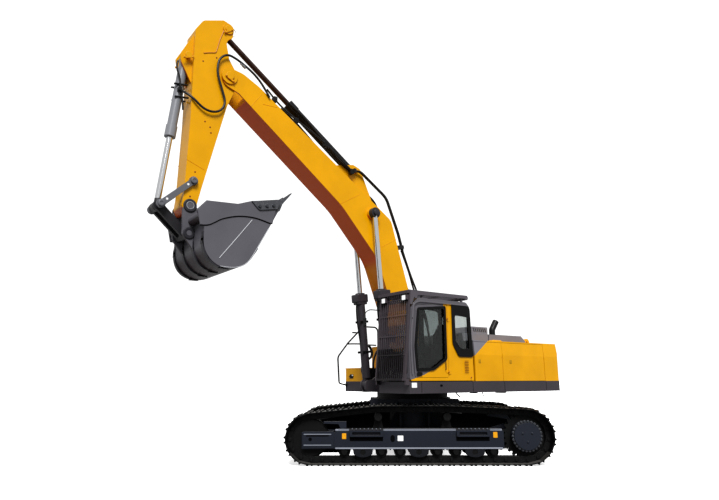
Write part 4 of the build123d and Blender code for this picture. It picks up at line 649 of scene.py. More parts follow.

# Cab: pressed steel pillars and panels. Grey round the glass and on the roof, with a yellow post
# behind the door and a yellow panel below, split along a falling curve; near-black inside as painted shade
cab_grey = "#67646A"
cab_lines = ((1.0, 0.0, 0.0, 0.352), (0.571, 0.0, 1.0, 2.263), (0.461, 0.0, 1.0, 2.186),
             (0.282, 0.0, 1.0, 2.020))
# The cab's inside is painted near-black: painted shade of the dark interior seen through the glass
inside = ((1.0, 0.0, 0.0, -0.445), (-1.0, 0.0, 0.0, -1.20), (0.0, 1.0, 0.0, 0.56), (0.0, -1.0, 0.0, -1.4545),
          (0.0, 0.0, 1.0, 1.66), (0.0, 0.0, -1.0, -3.27))
cab_areas = ((cab_grey, cab_lines),
             (cab_grey, ((-1.0, 0.0, 0.0, -0.166), (0.0, 0.0, 1.0, 2.158), (0.0, -1.0, 0.0, -1.46))),
             (cab_grey, ((-1.0, 0.0, 0.0, 0.43), (0.0, 0.0, 1.0, 2.158))),
             (cab_grey, ((-1.0, 0.0, 0.0, 0.20), (0.0, 0.0, 1.0, 3.12))),
             (cab_grey, ((0.0, 0.0, 1.0, 3.235),)), ("#0B0B0D", inside))
cab_enamel = enamel("cab_two_tone_enamel", "#E2A400", rough=0.33, areas=cab_areas, dust=0.08)
dress(("cab_shell", "cab_door"), cab_enamel)

# Panes: flat toughened glass bonded into the openings, with sharp reflections. It is almost clear all
# round the cab and smoky grey in the door
for panes, name, tint, shine in (("cab_glass", "tinted_safety_glass", "#F1F6F4", 0.3),
                                 ("door_glass", "dark_safety_glass", "#8F9796", 0.02)):
    glass, tree = new_tree(name)
    surface = add(tree, "BsdfPrincipled", {"Base Color": linear(tint), "Roughness": 0.02, "IOR": 1.5,
                                           "Specular IOR Level": shine, "Transmission Weight": 1.0})
    add(tree, "OutputMaterial", {"Surface": surface.outputs[0]})
    dress((panes,), glass)

# Window seals: black extruded rubber pushed onto the edge of the door's window, and the broad black
# band round the rear pane


def border(rings):
    """A closed band through four outlines with as many points each, every one at its own distance y."""
    points = np.concatenate([at_y(y, ring) for ring, y in rings])
    return points, [sheet_faces(4, len(rings[0][0]), wrap=True, close=True)]


cab_side = 1.504
# Matt black with a grain of 6 mm, which takes no sharp highlight
rubber = patterned("seal_rubber", "Noise", {"Scale": 160.0}, "#060607", "#121214",
                   {"Roughness": 0.6, "Specular IOR Level": 0.25})
door_window = soft([(0.305, 2.07), (0.69, 1.845), (1.145, 1.825), (1.192, 2.33), (1.095, 3.105),
                    (0.305, 3.185)], 0.05)
rear_window = soft([(-0.035, 2.135), (-0.462, 2.135), (-0.395, 3.215), (0.135, 3.255), (0.135, 2.40)], 0.05)
bed, rim_face = cab_side - 0.006, cab_side + 0.005
seal_edge = inset(door_window, 0.055)
seal = border(((door_window, bed), (door_window, rim_face), (seal_edge, rim_face), (seal_edge, bed)))
piece("door_window_seal", seal, rubber, "cab_door")
print_edge = soft([(-0.115, 2.30), (-0.355, 2.30), (-0.325, 2.98), (0.045, 3.005), (0.045, 2.45)], 0.05)
print_band = border(((rear_window, bed), (rear_window, rim_face), (print_edge, cab_side + 0.001),
                     (print_edge, bed)))
piece("rear_window_print", print_band, rubber, "upper")

# Pillar highlights: raised strips of a lighter grey along the corner post, the roof's edge and the
# door's front edge, painted highlights where light catches their rounded edges; a rubber joint crosses the
# post's


def ribbon(line, width, low, high):
    """A flat strip along a line: its outline is the line moved half a width to each side."""
    line = np.array(line, float)
    ahead = np.gradient(line, axis=0)
    ahead /= np.linalg.norm(ahead, axis=1)[:, None]
    aside = ahead @ np.array([(0.0, 1.0), (-1.0, 0.0)]) * width / 2
    return slab(np.concatenate((line + aside, (line - aside)[::-1])), low, high, edge=0.001)


highlight_strip_enamel = enamel("pillar_highlight_enamel", "#6D6A70", rough=0.35, dust=0.05)
post_line = [(1.262, 1.76), (1.275, 2.0), (1.296, 2.33), (1.272, 2.6), (1.235, 2.95), (1.215, 3.10),
             (1.17, 3.19), (1.06, 3.235), (0.9, 3.24), (0.3, 3.24), (-0.30, 3.235)]
piece("post_highlight_strip", ribbon(side_curve(post_line), 0.026, cab_side, cab_side + 0.010), highlight_strip_enamel,
      "upper")
door_line = [(1.196, 1.80), (1.208, 2.05), (1.216, 2.33), (1.19, 2.6), (1.155, 2.9), (1.125, 3.08)]
piece("door_highlight_strip", ribbon(door_line, 0.013, cab_side, cab_side + 0.009), highlight_strip_enamel, "cab_door")
band_low = slab([(1.235, 2.86), (1.252, 2.862), (1.248, 2.894), (1.231, 2.892)], cab_side, cab_side + 0.0115,
                edge=0.001)
piece("post_joint", band_low, rubber, "upper")

# Door furniture: a moulded grab pocket, a bent steel handle, red caps over three bolts of the cab,
# and the slots of the vent in the panel behind the door, drawn as dark orange-brown strips of painted shade
pocket = slab(rounded(1.075, 1.775, 0.15, 0.07, 0.034), cab_side, cab_side + 0.0035, edge=0.001)
piece("door_pocket", pocket, rubber, "cab_door")
handle_line = [(1.50, 2.03), (1.515, 2.03), (1.517, 1.98), (1.517, 1.90), (1.515, 1.86), (1.50, 1.86)]
handle = tube(smooth_line(np.insert(handle_line, 0, 0.36, axis=1)), 0.008, 8, across=(1, 0, 0))
piece("door_handle", handle, black_enamel, "cab_door")
# Clear red plastic over cells 11 mm across, with a clear gloss
red = patterned("red_lamp_acrylic", "Voronoi", {"Scale": 90.0}, "#A01414", "#6A0A0A",
                {"Roughness": 0.15, "Coat Weight": 0.5})
dots = turned([(0.014, 0), (0.014, 0.006), (0.008, 0.010)], (0, 0, 0), 12)
piece("cab_bolt_caps", copies(dots, [(0.269, 1.503, 1.81), (-0.38, 1.503, 1.704), (0.27, 1.503, 2.912)]),
      red, "upper")
# Painted shade: the vent's slots are dark orange-brown strips on the panel
vents = [slab(rounded(-0.257, z, 0.12, 0.014, 0.006, 3), cab_side + 0.0005, cab_side + 0.0035, edge=0.001)
         for z in 1.815 + np.arange(8) * 0.033]
piece("cab_vents", joined(*vents), enamel("vent_slot_painted_shade", "#8A5200", rough=0.6), "upper")

# Operator's place: a moulded black console each side of a cloth seat, a joystick on each console,
# and a monitor on the right front post
# Moulded grain, drawn 4 mm across so that it can show: an even, soft black
plastic = patterned("moulded_cab_plastic", "Noise", {"Scale": 260.0, "Detail": 3.0}, "#101012", "#1A1A1D",
                    {"Roughness": 0.6}, relief=(0.2, 0.001))
dress(("consoles",), plastic)
sticks = []
for y in (0.70, 1.31):
    stem = smooth_line(at_y(y, [(0.50, 2.33), (0.51, 2.42), (0.49, 2.48)]))
    grip = turned([(0.018, 0), (0.024, 0.03), (0.020, 0.07), (0.030, 0.11), (0.022, 0.135)], (0.49, y, 2.46),
                  16, axis=(-0.1, 0, 1))
    sticks += [tube(stem, 0.011, 8), grip]
monitor = slab(rounded(0.655, 2.52, 0.20, 0.15, 0.02), 1.06, 1.10, across=0)
bracket = tube(smooth_line([(1.09, 0.655, 2.52), (1.15, 0.60, 2.50), (1.19, 0.575, 2.46)]), 0.015, 8)
piece("controls", joined(*sticks, monitor, bracket), plastic, "upper")

# Seat: a cushion and a back of foam in a dark woven cover, sewn to shape, with a headrest, on a black
# moulded pedestal
cloth, tree = new_tree("woven_seat_cloth")
place = add(tree, "TexCoord").outputs["Object"]
# Warp and weft 1.3 mm apart, which from the camera is one dull, dark cloth with a faint sheen
warp = add(tree, "TexWave", {"Vector": place, "Scale": 250.0}, bands_direction="Y").outputs["Fac"]
weft = add(tree, "TexWave", {"Vector": place, "Scale": 250.0}, bands_direction="X").outputs["Fac"]
weave = add(tree, "Math", {0: warp, 1: weft}, operation="MULTIPLY").outputs[0]
tone = add(tree, "Mix", {0: weave, 6: linear("#141417"), 7: linear("#2B2B30")}, data_type="RGBA").outputs[2]
relief = add(tree, "Bump", {"Strength": 0.4, "Distance": 0.001, "Height": weave}).outputs[0]
surface = add(tree, "BsdfPrincipled", {"Base Color": tone, "Roughness": 0.9, "Normal": relief,
                                       "Sheen Weight": 0.3})
add(tree, "OutputMaterial", {"Surface": surface.outputs[0]})


def power(value, exponent):
    """A signed power: the sign of the value times |value|^exponent."""
    return np.sign(value) * np.abs(value) ** exponent


def pad(centre, size, lean):
    """A crowned cushion that leans back: a box with rounded sides, its faces swelled by crown.

    x = cos(u)^0.35 cos(v)^0.4, y = sin(u)^0.35 cos(v)^0.4, z = sin(v)^0.5 (1 + crown (1 - x^2) (1 - y^2)),
    with signed powers, each times half the size."""
    rows, columns, crown = 19, 40, 0.12
    u = (np.arange(columns) * 2 * np.pi / columns)[None]
    v = np.linspace(-np.pi / 2, np.pi / 2, rows + 2)[1:-1, None]
    x, y = power(np.cos(u), 0.35) * power(np.cos(v), 0.4), power(np.sin(u), 0.35) * power(np.cos(v), 0.4)
    z = power(np.sin(v), 0.5) * (1 + crown * (1 - x ** 2) * (1 - y ** 2)) + 0 * u
    points = np.stack((x, y, z), axis=-1).reshape(-1, 3) * np.array(size) / 2
    tilt = np.array([(math.cos(lean), 0, math.sin(lean)), (0, 1, 0), (-math.sin(lean), 0, math.cos(lean))])
    caps = np.arange(columns)[None]
    return points @ tilt.T + centre, [sheet_faces(rows, columns, wrap=True), caps,
                                      caps + (rows - 1) * columns]


middle = 1.003
for name, shape in (("seat_cushion", pad((0.17, middle, 2.155), (0.53, 0.50, 0.13), 0.05)),
                    ("seat_back", pad((-0.035, middle, 2.49), (0.10, 0.48, 0.54), -0.10)),
                    ("headrest", pad((-0.055, middle, 2.775), (0.09, 0.28, 0.13), -0.10))):
    cushion = piece(name, shape, cloth, "upper")
    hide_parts("seat")
pedestal = slab(soft(oblong(-0.03, 0.823, 0.33, 1.183), 0.03), 1.692, 2.10, across=2)
pedestal_piece = piece("seat_pedestal", pedestal, plastic, "upper")
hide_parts("seat")

# Guards: bent and welded bar and channel over the cab's front and roof, in charcoal enamel, with
# two work lamps of fluted glass bolted under the roof's lip
# Satin charcoal, darker low down in the cab's shade and browner high up, where the boom's colour
# falls on it
guard_enamel = enamel("guard_charcoal_enamel", "#4A4348", rough=0.42, dust=0.12,
                      areas=(("#211D20", ((0.0, -1.0, 0.0, -1.40), (0.0, 1.0, 0.0, 0.56),
                                          (0.0, 0.0, -1.0, -2.28))),
                             ("#6A5248", ((0.0, 1.0, 0.0, 0.80), (0.0, -1.0, 0.0, -1.40),
                                          (0.0, 0.0, 1.0, 2.75), (0.0, 0.0, -1.0, -3.20),
                                          (1.0, 0.0, 0.0, 1.24)))))
dress(("cab_guard",), guard_enamel)
dress(("roof_guard",), enamel("roof_guard_enamel", "#5A565C", rough=0.42, dust=0.12))
dress(("handrails",), black_enamel)
lamp_places = (0.71, 1.38)
lamp_cases = [slab(soft(oblong(y - 0.07, 3.235, y + 0.07, 3.36), 0.02), 1.22, 1.352,
                   across=0, edge=0.008) for y in lamp_places]
piece("work_lamp_cases", joined(*lamp_cases), black_enamel, "upper")
# Flutes 10 mm apart in clear glass over a bright reflector, so that the lamps look white; their faint
# glow is a painted glint of the sky, for the lamps are not lit
lens_finish_and_glint = {"Roughness": 0.2, "Emission Color": linear("#FFFFFF"), "Emission Strength": 0.25}
lens = patterned("fluted_lamp_glass", "Wave", {"Scale": 30.0}, "#FFFFFF", "#E8EAEC", lens_finish_and_glint,
                 relief=(0.3, 0.002), bands_direction="Y")
lenses = [slab(soft(oblong(y - 0.055, 3.25, y + 0.055, 3.345), 0.012), 1.345, 1.358,
               across=0, edge=0.003) for y in lamp_places]
piece("work_lamp_lenses", joined(*lenses), lens, "upper")

# Mirror on its wire arm off the right front corner of the cab guard: black enamelled steel, clamped
# to the guard's post
wire = smooth_line([(1.321, 0.53, 3.116), (1.50, 0.53, 3.12), (1.62, 0.53, 3.11), (1.74, 0.55, 3.02),
                    (1.745, 0.58, 2.92)])
arm_wire = tube(wire, 0.011, 8)
mirror_case = slab(soft([(0.53, 2.74), (0.62, 2.76), (0.625, 2.93), (0.53, 2.93)], 0.02), 1.73, 1.76,
                   across=0, edge=0.008)
piece("front_mirror", joined(arm_wire, mirror_case), black_enamel, "upper")

# Toolbox handle in its pressed cup, a white plate beside it, and the upper bar of the handrail with
# a bracket on it: bent steel tube and sheet in black enamel
box_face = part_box("toolbox")[1].x
grip = tube(smooth_line([(box_face, -1.32, 1.74), (box_face + 0.03, -1.32, 1.74),
                         (box_face + 0.035, -1.24, 1.74), (box_face + 0.03, -1.16, 1.74),
                         (box_face, -1.16, 1.74)]), 0.009, 8, across=(0, 0, 1))
cup = slab(rounded(-1.24, 1.74, 0.15, 0.10, 0.02), box_face - 0.001, box_face + 0.003, across=0, edge=0.001)
piece("toolbox_handle", joined(grip, cup), black_enamel, "upper")
spot_plate = slab(rounded(-1.20, 1.755, 0.05, 0.05, 0.01), box_face + 0.002, box_face + 0.006, across=0,
                  edge=0.001)
piece("toolbox_plate", spot_plate, white_coat, "upper")
rail_bar = tube([(0.80, -1.44, 2.517), (0.62, -1.44, 2.525), (0.363, -1.44, 2.53)], 0.017)
stay = tube([(0.363, -1.44, 2.53), (0.20, -1.42, 2.51), (0.03, -1.30, 2.50)], 0.017)
rail_cup = slab(rounded(0.595, 2.80, 0.11, 0.03, 0.01), -1.47, -1.41)
piece("handrail_bar", joined(rail_bar, stay, rail_cup), black_enamel, "upper")

# Tank tops: a screwed fuel cap and a bolted cover over the hydraulic tank's filter, pressed steel in
# black enamel, and a studded tread plate between them
tank_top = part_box("tanks")[1].z
filter_x, filter_y, screw_radius = -1.0, -1.05, 0.115
caps = [turned([(0.075, 0), (0.075, 0.03), (0.06, 0.045)], (-0.35, -1.15, tank_top - 0.002), 32,
               axis=(0, 0, 1)),
        turned([(0.14, 0), (0.14, 0.02), (0.13, 0.026)], (filter_x, filter_y, tank_top - 0.002), 40,
               axis=(0, 0, 1))]
screw_ring = (filter_x, filter_y) + circle(screw_radius, np.arange(6) * np.pi / 3)
cover_screws = copies(bolt(0.024, axis=(0, 0, 1)), np.insert(screw_ring, 2, tank_top + 0.022, axis=1))
piece("tank_caps", joined(*caps, cover_screws), black_enamel, "upper")
tread = slab(rounded(-0.70, -1.05, 0.34, 0.62, 0.02), tank_top - 0.001, tank_top + 0.004, across=2,
             edge=0.001)
studs = copies(turned([(0.010, 0), (0.007, 0.004)], (0, 0, 0), 8, axis=(0, 0, 1)), [
    (x, y, tank_top + 0.0035) for x in np.linspace(-0.84, -0.56, 7) for y in np.linspace(-1.33, -0.77, 13)])
piece("walkway_plate", joined(tread, studs), charcoal, "upper")

# Hoses from the boom's foot plates on the deck up to the first clamp on the boom: black rubber over
# braided wire
# Black rubber with a grain of 11 mm from the braid under it, and a low sheen
hose_rubber = patterned("braided_hose_rubber", "Noise", {"Scale": 90.0, "Detail": 4.0},
                        "#08080A", "#18181B", {"Roughness": 0.42}, relief=(0.3, 0.002))
dress(("boom_hoses",), hose_rubber)


def hose(name, route, diameter):
    """A hydraulic hose: a tube along the NURBS line of its route, as thick as the given diameter."""
    line = smooth_line(route)
    made = piece(name, tube(line, diameter / 2, 12), hose_rubber, None)
    return made


plate_face = 0.286
for index, (way, y, x) in enumerate(((1, 0.20, -0.42), (1, 0.09, -0.54), (-1, 0.09, -0.54),
                                     (-1, 0.20, -0.42))):
    supply = hose(f"boom_supply_hose_{index + 1}", [
        (x, way * plate_face, 2.20), (x, way * 0.18, 2.21), (x + 0.02, way * y, 2.50),
        (-0.32 - 0.05 * (index % 2), way * y, 3.10), (-0.03, way * y, 3.70 + 0.03 * index),
        (0.19, way * 0.19, 4.16), (0.41, way * (0.24 - 0.05 * (index % 3 > 0)), 4.61)], 0.044)
    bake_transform(supply)

# Bundle of black hoses in front of the tank, down to the boom cylinders' feet, and the rubber
# sheets hung beside and behind them
drop = np.array([(0, 2.44), (0.15, 2.40), (0.30, 2.16), (0.33, 1.86), (0.20, 1.66)])
bundle = [tube(smooth_line(at_y(y, drop + (x, 0))), 0.024, 8)
          for x, y in ((0.0, -0.545), (0.10, -0.60), (0.22, -0.545), (0.34, -0.60), (-0.1, -0.60))]
drop = [(0.80, 2.44), (0.71, 2.36), (0.70, 2.18), (0.86, 2.10), (0.99, 1.96), (0.99, 1.83), (0.90, 1.68)]
bundle += [tube(smooth_line(at_y(y, drop)), 0.019, 8) for y in (-0.56, -0.60)]
piece("foot_hoses", joined(*bundle), hose_rubber, "upper")
sheet_out, sheet_in = -0.624, -0.612
shields = joined(slab(oblong(-1.20, 1.66, 0.035, 2.48), sheet_out, sheet_in),
                 slab(oblong(0.06, 1.64, 0.80, 1.92), sheet_out, sheet_in),
                 slab(oblong(-1.00, 1.66, sheet_in, 2.49), 0.041, 0.053, across=0))
piece("hose_shields", shields, rubber, "upper")

# Boom and arm: hollow boxes of plate, welded along their corners, with cast bosses at the pins. Weld
# beads cross their sides, and a bolted keeper bar holds each pin
# The same glossy yellow, with less dust on it, and the same painted orange reflection on what faces down
boom_enamel = enamel("boom_yellow_enamel", "#E2A400", rough=0.31, dust=0.03, below=warm)
dress(("boom", "arm"), boom_enamel)
boom_face, arm_face = 0.275, 0.235
bead = 0.0045
boom_seams = joined(*[tube(at_y(boom_face, line), bead, 6) for line in (
    [(1.646, 5.731), (1.92, 5.569), (2.193, 5.407)], [(0.612, 4.835), (0.83, 4.716), (1.045, 4.597)],
    [(4.134, 7.44), (4.25, 7.275), (4.359, 7.11)], [(4.105, 7.224), (3.94, 7.233), (3.774, 7.242)])])
piece("boom_welds", mirrored(boom_seams), boom_enamel, "boom")
arm_seam = tube(at_y(arm_face, [(5.608, 5.702), (5.43, 5.633), (5.253, 5.565)]), bead, 6)
piece("arm_welds", mirrored(arm_seam), boom_enamel, "arm")


def pin_cap(x, z, face, radius, turn=0.0):
    """A pin's end: a chamfered disc, and across it the keeper bar that two bolts hold."""
    disc = turned([(radius, 0), (radius, 0.010), (radius - 0.008, 0.016)], (x, face, z), 32)
    c, s = math.cos(turn), math.sin(turn)
    corners = np.array(oblong(-0.11, -0.02, 0.11, 0.02)) @ np.array([(c, s), (-s, c)])
    bar = slab(corners + (x, z - 0.75 * radius), face + 0.002, face + 0.014, edge=0.002)
    ends = [(x + a * c, face + 0.012, z - 0.75 * radius + a * s) for a in (-0.085, 0.085)]
    return joined(disc, bar, copies(bolt(0.03), ends))


elbow_pin, boom_foot_pin = (4.86, 7.61), (0.18, 2.25)
boom_caps = joined(pin_cap(*elbow_pin, 0.320, 0.085, 0.5), pin_cap(*boom_foot_pin, 0.3675, 0.07))
piece("boom_pin_caps", mirrored(boom_caps), boom_enamel, "boom")
arm_rod_pin, bucket_barrel_pin = (4.92, 8.66), (5.69, 7.83)
arm_caps = joined(pin_cap(*arm_rod_pin, 0.263, 0.07, -0.6),
                  pin_cap(*bucket_barrel_pin, arm_face, 0.07, -0.3))
piece("arm_pin_caps", mirrored(arm_caps), boom_enamel, "arm")

# Grease nipples on the arm: turned steel, drawn brown as painted shade, with the grease pipe clipped
# along the arm's left side
nipples = turned([(0.016, 0), (0.016, 0.005), (0.008, 0.008)], (0, 0, 0), 10)
# Painted shade: the small fittings are brown, as yellow looks in their own shade
brown = enamel("fitting_painted_shade_brown", "#7A3210", rough=0.5)
arm_dots = at_y(arm_face - 0.002, [(5.129, 7.952), (5.293, 6.543), (5.163, 6.339), (5.186, 6.452),
                                   (5.428, 5.488), (5.497, 4.995), (5.40, 7.79)])
piece("arm_grease_nipples", mirrored(copies(nipples, arm_dots)), brown, "arm")
grease_pipe = tube(at_y(arm_face + 0.008, side_curve([
    (5.401, 7.964), (5.27, 8.02), (5.155, 8.05), (5.135, 8.12), (5.075, 8.417), (5.007, 8.60)])), 0.009, 8)
piece("arm_grease_pipe", grease_pipe, enamel("grease_pipe_enamel", "#D08A3A", rough=0.4), "arm")

# Wire ring: a loop of bent steel wire on the arm's head, galvanised, with its ends let into the
# plate below the rod's pin
# Zinc in crystals 17 mm across, bright and a little uneven
galvanised = patterned("galvanised_wire", "Voronoi", {"Scale": 60.0}, "#C9CCCF", "#9EA2A6",
                       {"Roughness": 0.35, "Metallic": 0.9})
wire_ring = at_y(0.12, (4.80, 8.70) + circle(0.10, np.linspace(-1.9, 1.5, 25)) * (-1, 1))
piece("head_wire_ring", tube(wire_ring, 0.007, 8), galvanised, "arm")

# Hard lines along the boom: black steel tube, three low and three high, held by clamps, and the free
# hose that loops over the arm joint to the bucket cylinder
low_line = [(4.017, 7.594), (3.81, 7.394), (3.555, 7.225), (3.30, 7.09), (2.93, 6.93),
            (2.55, 6.72), (2.10, 6.42), (1.80, 6.20)]
hard_lines = [tube(smooth_line(at_y(y, low_line)), 0.019, 8) for y in (0.262, -0.262, -0.215)]
high_line = [(3.473, 7.47), (3.18, 7.31), (2.834, 7.04), (2.50, 6.75), (2.167, 6.43), (1.785, 6.24)]
hard_lines += [tube(smooth_line(at_y(y, high_line)), 0.021, 8) for y in (0.20, 0.145, -0.145)]
piece("boom_hard_lines", joined(*hard_lines), hose_rubber, "boom")
clamps = [slab(rounded(x, z, 0.09, 0.12, 0.02), 0.19, 0.285)
          for x, z in ((3.82, 7.42), (3.30, 7.08), (2.55, 6.72), (1.86, 6.23))]
piece("line_clamps", mirrored(joined(*clamps)), black_enamel, "boom")
fitting = turned([(0.034, -0.05), (0.034, 0.03), (0.024, 0.035), (0.024, 0.09)], (4.562, 0.285, 7.93), 12,
                 axis=(0.8, 0.1, 0.35))
piece("loop_fitting", fitting, galvanised, "boom")
loop_y = 0.302
loop_route = at_y(loop_y, [(3.97, 7.40), (4.10, 7.59), (4.29, 7.79), (4.55, 7.945), (4.74, 8.03),
                           (4.93, 8.07), (5.09, 7.93), (5.13, 7.72), (5.10, 7.52), (5.00, 7.25),
                           (4.92, 7.02), (5.00, 6.82), (5.18, 6.74), (5.37, 6.77)])
loop_end = [(5.56, 0.29, 6.93), (5.70, 0.22, 7.04), (5.765, 0.115, 7.11)]
loop = hose("arm_loop_hose", np.concatenate((loop_route, loop_end)), 0.046)
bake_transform(loop)

# Boom cylinders: honed tubes in charcoal enamel, a square head at the top of each, a hard line down
# the front and dark cast eyes on the chromed rods
# Satin charcoal with little dust, as on a part that is often wiped
barrel_enamel = enamel("dark_barrel_enamel", "#3A363B", rough=0.36, dust=0.05)
dress(("boom_cylinder_barrels",), barrel_enamel)
dress(("arm_cylinder_barrel",), enamel("arm_barrel_enamel", "#1B1A1D", rough=0.36, dust=0.08))
barrel_foot = (0.987, 1.554)
lean_x, lean_z = 0.0907, 0.9959
along = np.array([(lean_z, -lean_x), (lean_x, lean_z)])


def on_barrel(outline):
    """An outline drawn across and along a boom cylinder from its foot pin, as x and z."""
    return np.array(outline, float) @ along + barrel_foot


heads = joined(slab(on_barrel(soft(oblong(-0.148, 1.85, 0.148, 2.035), 0.03)), 0.290, 0.548, edge=0.012),
               slab(on_barrel(soft(oblong(-0.12, 1.80, 0.12, 1.86), 0.02)), 0.300, 0.520, edge=0.008))
piece("cylinder_heads", mirrored(heads), barrel_enamel, "boom_barrels")
feed = smooth_line(at_y(0.397, [(1.241, 3.50), (1.275, 3.344), (1.262, 3.031), (1.215, 2.758), (1.16, 2.45),
                                (1.085, 2.28)]))
strap = [slab(on_barrel(oblong(-0.105, s, 0.115, s + 0.05)), side, side + 0.022, edge=0.003)
         for s in (1.38, 0.70) for side in (0.294, 0.480)]
piece("cylinder_lines", mirrored(joined(tube(feed, 0.018, 8), *strap)), black_enamel, "boom_barrels")
eye = turned([(0.119, 0.343), (0.119, 0.451), (0.075, 0.452), (0.075, 0.492), (0.066, 0.498)],
             (1.33, 0, 5.32), 40)
link_enamel = enamel("link_dark_enamel", "#36353A", rough=0.42, dust=0.08)
piece("rod_eyes", mirrored(eye), link_enamel, "boom_rods")

# Boom cylinders' rods: ground steel bars with hard chrome on them, polished by the seals, so only a
# faint wipe shows in their gloss
chrome, tree = new_tree("hard_chrome")
place = add(tree, "TexCoord").outputs["Object"]
wipe = add(tree, "TexNoise", {"Vector": place, "Scale": 12.0, "Detail": 3.0}).outputs["Fac"]
gloss = add(tree, "MapRange", {0: wipe, 3: 0.10, 4: 0.22}).outputs[0]
surface = add(tree, "BsdfPrincipled", {"Base Color": linear("#D9DBDD"), "Roughness": gloss, "Metallic": 1.0})
add(tree, "OutputMaterial", {"Surface": surface.outputs[0]})
dress(("boom_cylinder_rods",), chrome)

# Bucket cylinder's rod: the same hard chrome on ground steel, with a cast eye welded on and sprayed
# dark
eyed_chrome, tree = new_tree("chrome_with_cast_eye")
place = add(tree, "TexCoord").outputs["Object"]
height = add(tree, "SeparateXYZ", {"Vector": place}).outputs["Z"]
plated = add(tree, "Math", {0: height, 1: 4.92}, operation="GREATER_THAN").outputs[0]
tone = add(tree, "Mix", {0: plated, 6: linear("#2C2A2E"), 7: linear("#D9DBDD")}, data_type="RGBA").outputs[2]
gloss = add(tree, "MapRange", {0: plated, 3: 0.42, 4: 0.15}).outputs[0]
surface = add(tree, "BsdfPrincipled", {"Base Color": tone, "Roughness": gloss, "Metallic": plated})
add(tree, "OutputMaterial", {"Surface": surface.outputs[0]})
dress(("bucket_cylinder_rod",), eyed_chrome)

# Arm cylinder's rod: the same hard chrome on ground steel, under a film of brown oil that its seal
# leaves
oiled = patterned("oiled_chrome", "Noise", {"Scale": 9.0, "Detail": 3.0}, "#2A2222", "#6A5048",
                  {"Roughness": 0.22, "Metallic": 0.9})
dress(("arm_cylinder_rod",), oiled)

# Bucket cylinder's barrel: honed steel tube in light grey enamel, with two black straps and a feed
# line clamped down its side
grey_barrel = enamel("grey_barrel_enamel", "#85878C", rough=0.34, dust=0.05)
dress(("bucket_cylinder_barrel",), grey_barrel)
straps = [ribbon([a, b], 0.022, side, side + 0.045) for side in (-0.115, 0.070) for a, b in
          (((5.888, 7.226), (5.625, 7.262)), ((5.860, 6.966), (5.596, 7.002)))]
feed_line = [(5.86, 7.699), (5.885, 7.551), (5.80, 7.38), (5.79, 7.24), (5.76, 7.10), (5.72, 6.93),
             (5.70, 6.72)]
feed = tube(at_y(0.125, side_curve(feed_line)), 0.018, 8)
block = slab(rounded(5.79, 7.12, 0.07, 0.08, 0.015), 0.09, 0.17)
piece("bucket_cylinder_fittings", joined(*straps, feed, block), black_enamel, "bucket_barrel")

# Bucket: rolled and welded wear plate, sprayed grey, with cast teeth and side cutters bolted to its
# cheeks. The heel is scuffed bright, and its pale line is also a painted highlight
# Grey enamel gone matt, and brown-black where the bucket faces down: painted shade
bucket_enamel = enamel("bucket_grey_enamel", "#626167", rough=0.42, dust=0.06, below="#3E3438")
dress(("bucket",), bucket_enamel)
# Cast steel that rock has worn to a light grey
tooth_steel = forged("cast_tooth_steel", "#55565A", "#8E9094", 0.05)
dress(("bucket_teeth",), tooth_steel)
cheek_face = 0.80
curve = side_curve([(5.485, 4.335), (5.356, 4.335), (5.20, 4.43), (5.097, 4.505), (4.786, 4.61),
                    (4.481, 4.63), (4.28, 4.60), (4.099, 4.555), (4.075, 4.575)])
band = slab(np.concatenate((curve, [(3.975, 5.025), (4.505, 4.938), (4.784, 4.832), (5.375, 4.794),
                                    (5.46, 4.70), (5.545, 4.60)])), cheek_face - 0.004, cheek_face + 0.022,
            edge=0.004)
piece("bucket_cheek_bands", mirrored(band), bucket_enamel, "bucket")
# A painted shadow: a near-black line along the band's lower edge
shadow = tube(at_y(cheek_face + 0.001, curve - (0, 0.006)), 0.009, 6)
piece("cheek_band_painted_shadow", mirrored(shadow), shade_and_seam_black, "bucket")
cutter = slab([(4.534, 4.924), (4.40, 4.80), (4.36, 4.775), (3.992, 4.855), (3.928, 5.035), (3.98, 5.05)],
              cheek_face + 0.020, cheek_face + 0.048, edge=0.004)
bolt_line = [(4.372, 4.848), (4.225, 4.878), (4.085, 4.908)]
cutter_bolts = copies(bolt(0.062), at_y(cheek_face + 0.047, bolt_line))
piece("side_cutters", mirrored(cutter), tooth_steel, "bucket")
piece("cutter_bolts", mirrored(cutter_bolts), zinc, "bucket")
# Pale, dull streaks: scuffed enamel, and a painted highlight along the weld and the heel's edge
bright = enamel("scuff_and_painted_highlight", "#B4B6BA", rough=0.45, dust=0.02)
weld_line = tube(at_y(cheek_face + 0.001, [(4.49, 4.575), (4.79, 4.177), (5.095, 3.782)]), 0.009, 6)
heel = [(4.14, 4.47), (4.30, 4.18), (4.44, 3.92), (4.56, 3.74), (4.72, 3.655), (4.90, 3.63), (5.07, 3.64)]
heel_line = tube(at_y(cheek_face - 0.002, side_curve(heel)), 0.008, 6)
piece("bucket_bright_edges", mirrored(joined(weld_line, heel_line)), bright, "bucket")

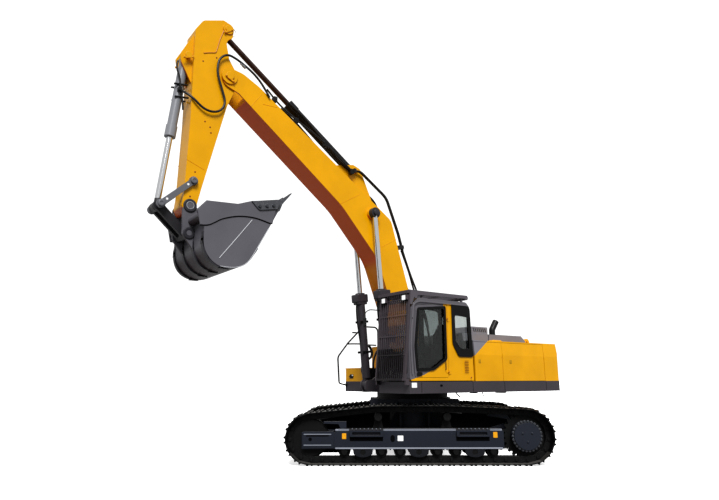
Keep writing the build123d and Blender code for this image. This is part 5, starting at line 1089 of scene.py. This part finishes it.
# Wear straps: four flat bars of hard steel, rolled round the outside of the bucket's shell and
# welded at their edges
shell = soft([(5.400, 4.570), (5.400, 3.615), (4.590, 3.615), (3.930, 4.870)], 0.50, 14)[:42]
path = shell[shell[:, 1] < 4.30]
wear = joined(*[ribbon(path, 0.034, y - 0.045, y + 0.045) for y in (-0.745, -0.26, 0.26, 0.745)])
piece("wear_straps", wear, link_enamel, "bucket")

# Ear bosses: turned steel rings welded to the bucket's ears round its two pins, in dark enamel, the
# one at the arm with a bright rim, rubbed and drawn as a painted highlight
ear_face, bucket_pin, h_link_pin = 0.298, (5.51, 4.80), (5.50, 4.28)
bosses = [turned([(r, 0), (r, 0.020), (r - 0.012, 0.030), (r - 0.05, 0.030), (r - 0.055, 0.022)],
                 (x, ear_face, z), 40) for (x, z), r in ((bucket_pin, 0.125), (h_link_pin, 0.11))]
ring_line = bucket_pin + circle(0.068, np.linspace(0, 2 * np.pi, 33))
boss_ring = tube(at_y(ear_face + 0.028, ring_line), 0.006, 6)
piece("ear_bosses", mirrored(joined(*bosses)), link_enamel, "bucket")
piece("ear_boss_rings", mirrored(boss_ring), bright, "bucket")

# Linkage: cast side links in mid grey enamel and the H-link in dark enamel, which swing on steel pins
# under turned caps
mid_grey = enamel("link_mid_grey_enamel", "#68696E", rough=0.38, dust=0.05)
dress(("side_links",), mid_grey)
dress(("h_link",), enamel("h_link_enamel", "#29272B", rough=0.45, dust=0.05))
turn_cap = [(0.062, 0), (0.062, 0.012), (0.052, 0.018), (0.028, 0.018), (0.026, 0.010)]
link_pins = ((5.46, 5.295), (6.03, 4.765))
link_caps = joined(*[turned(turn_cap, (x, 0.314, z), 32) for x, z in link_pins])
piece("link_pin_caps", mirrored(link_caps), mid_grey, "side_links")
cores = [turned([(0.052, -0.30), (0.052, 0.30)], (x, 0, z), 24) for x, z in link_pins]
piece("link_pins", joined(*cores), wheel_steel, "side_links")
eyelets = [turned([(0.022, 0), (0.022, 0.003)], (x, 0.2885, z), 16)
           for x, z in ((5.56, 5.205), (5.93, 4.86))]
piece("link_eyelets", mirrored(joined(*eyelets)), white_coat, "side_links")
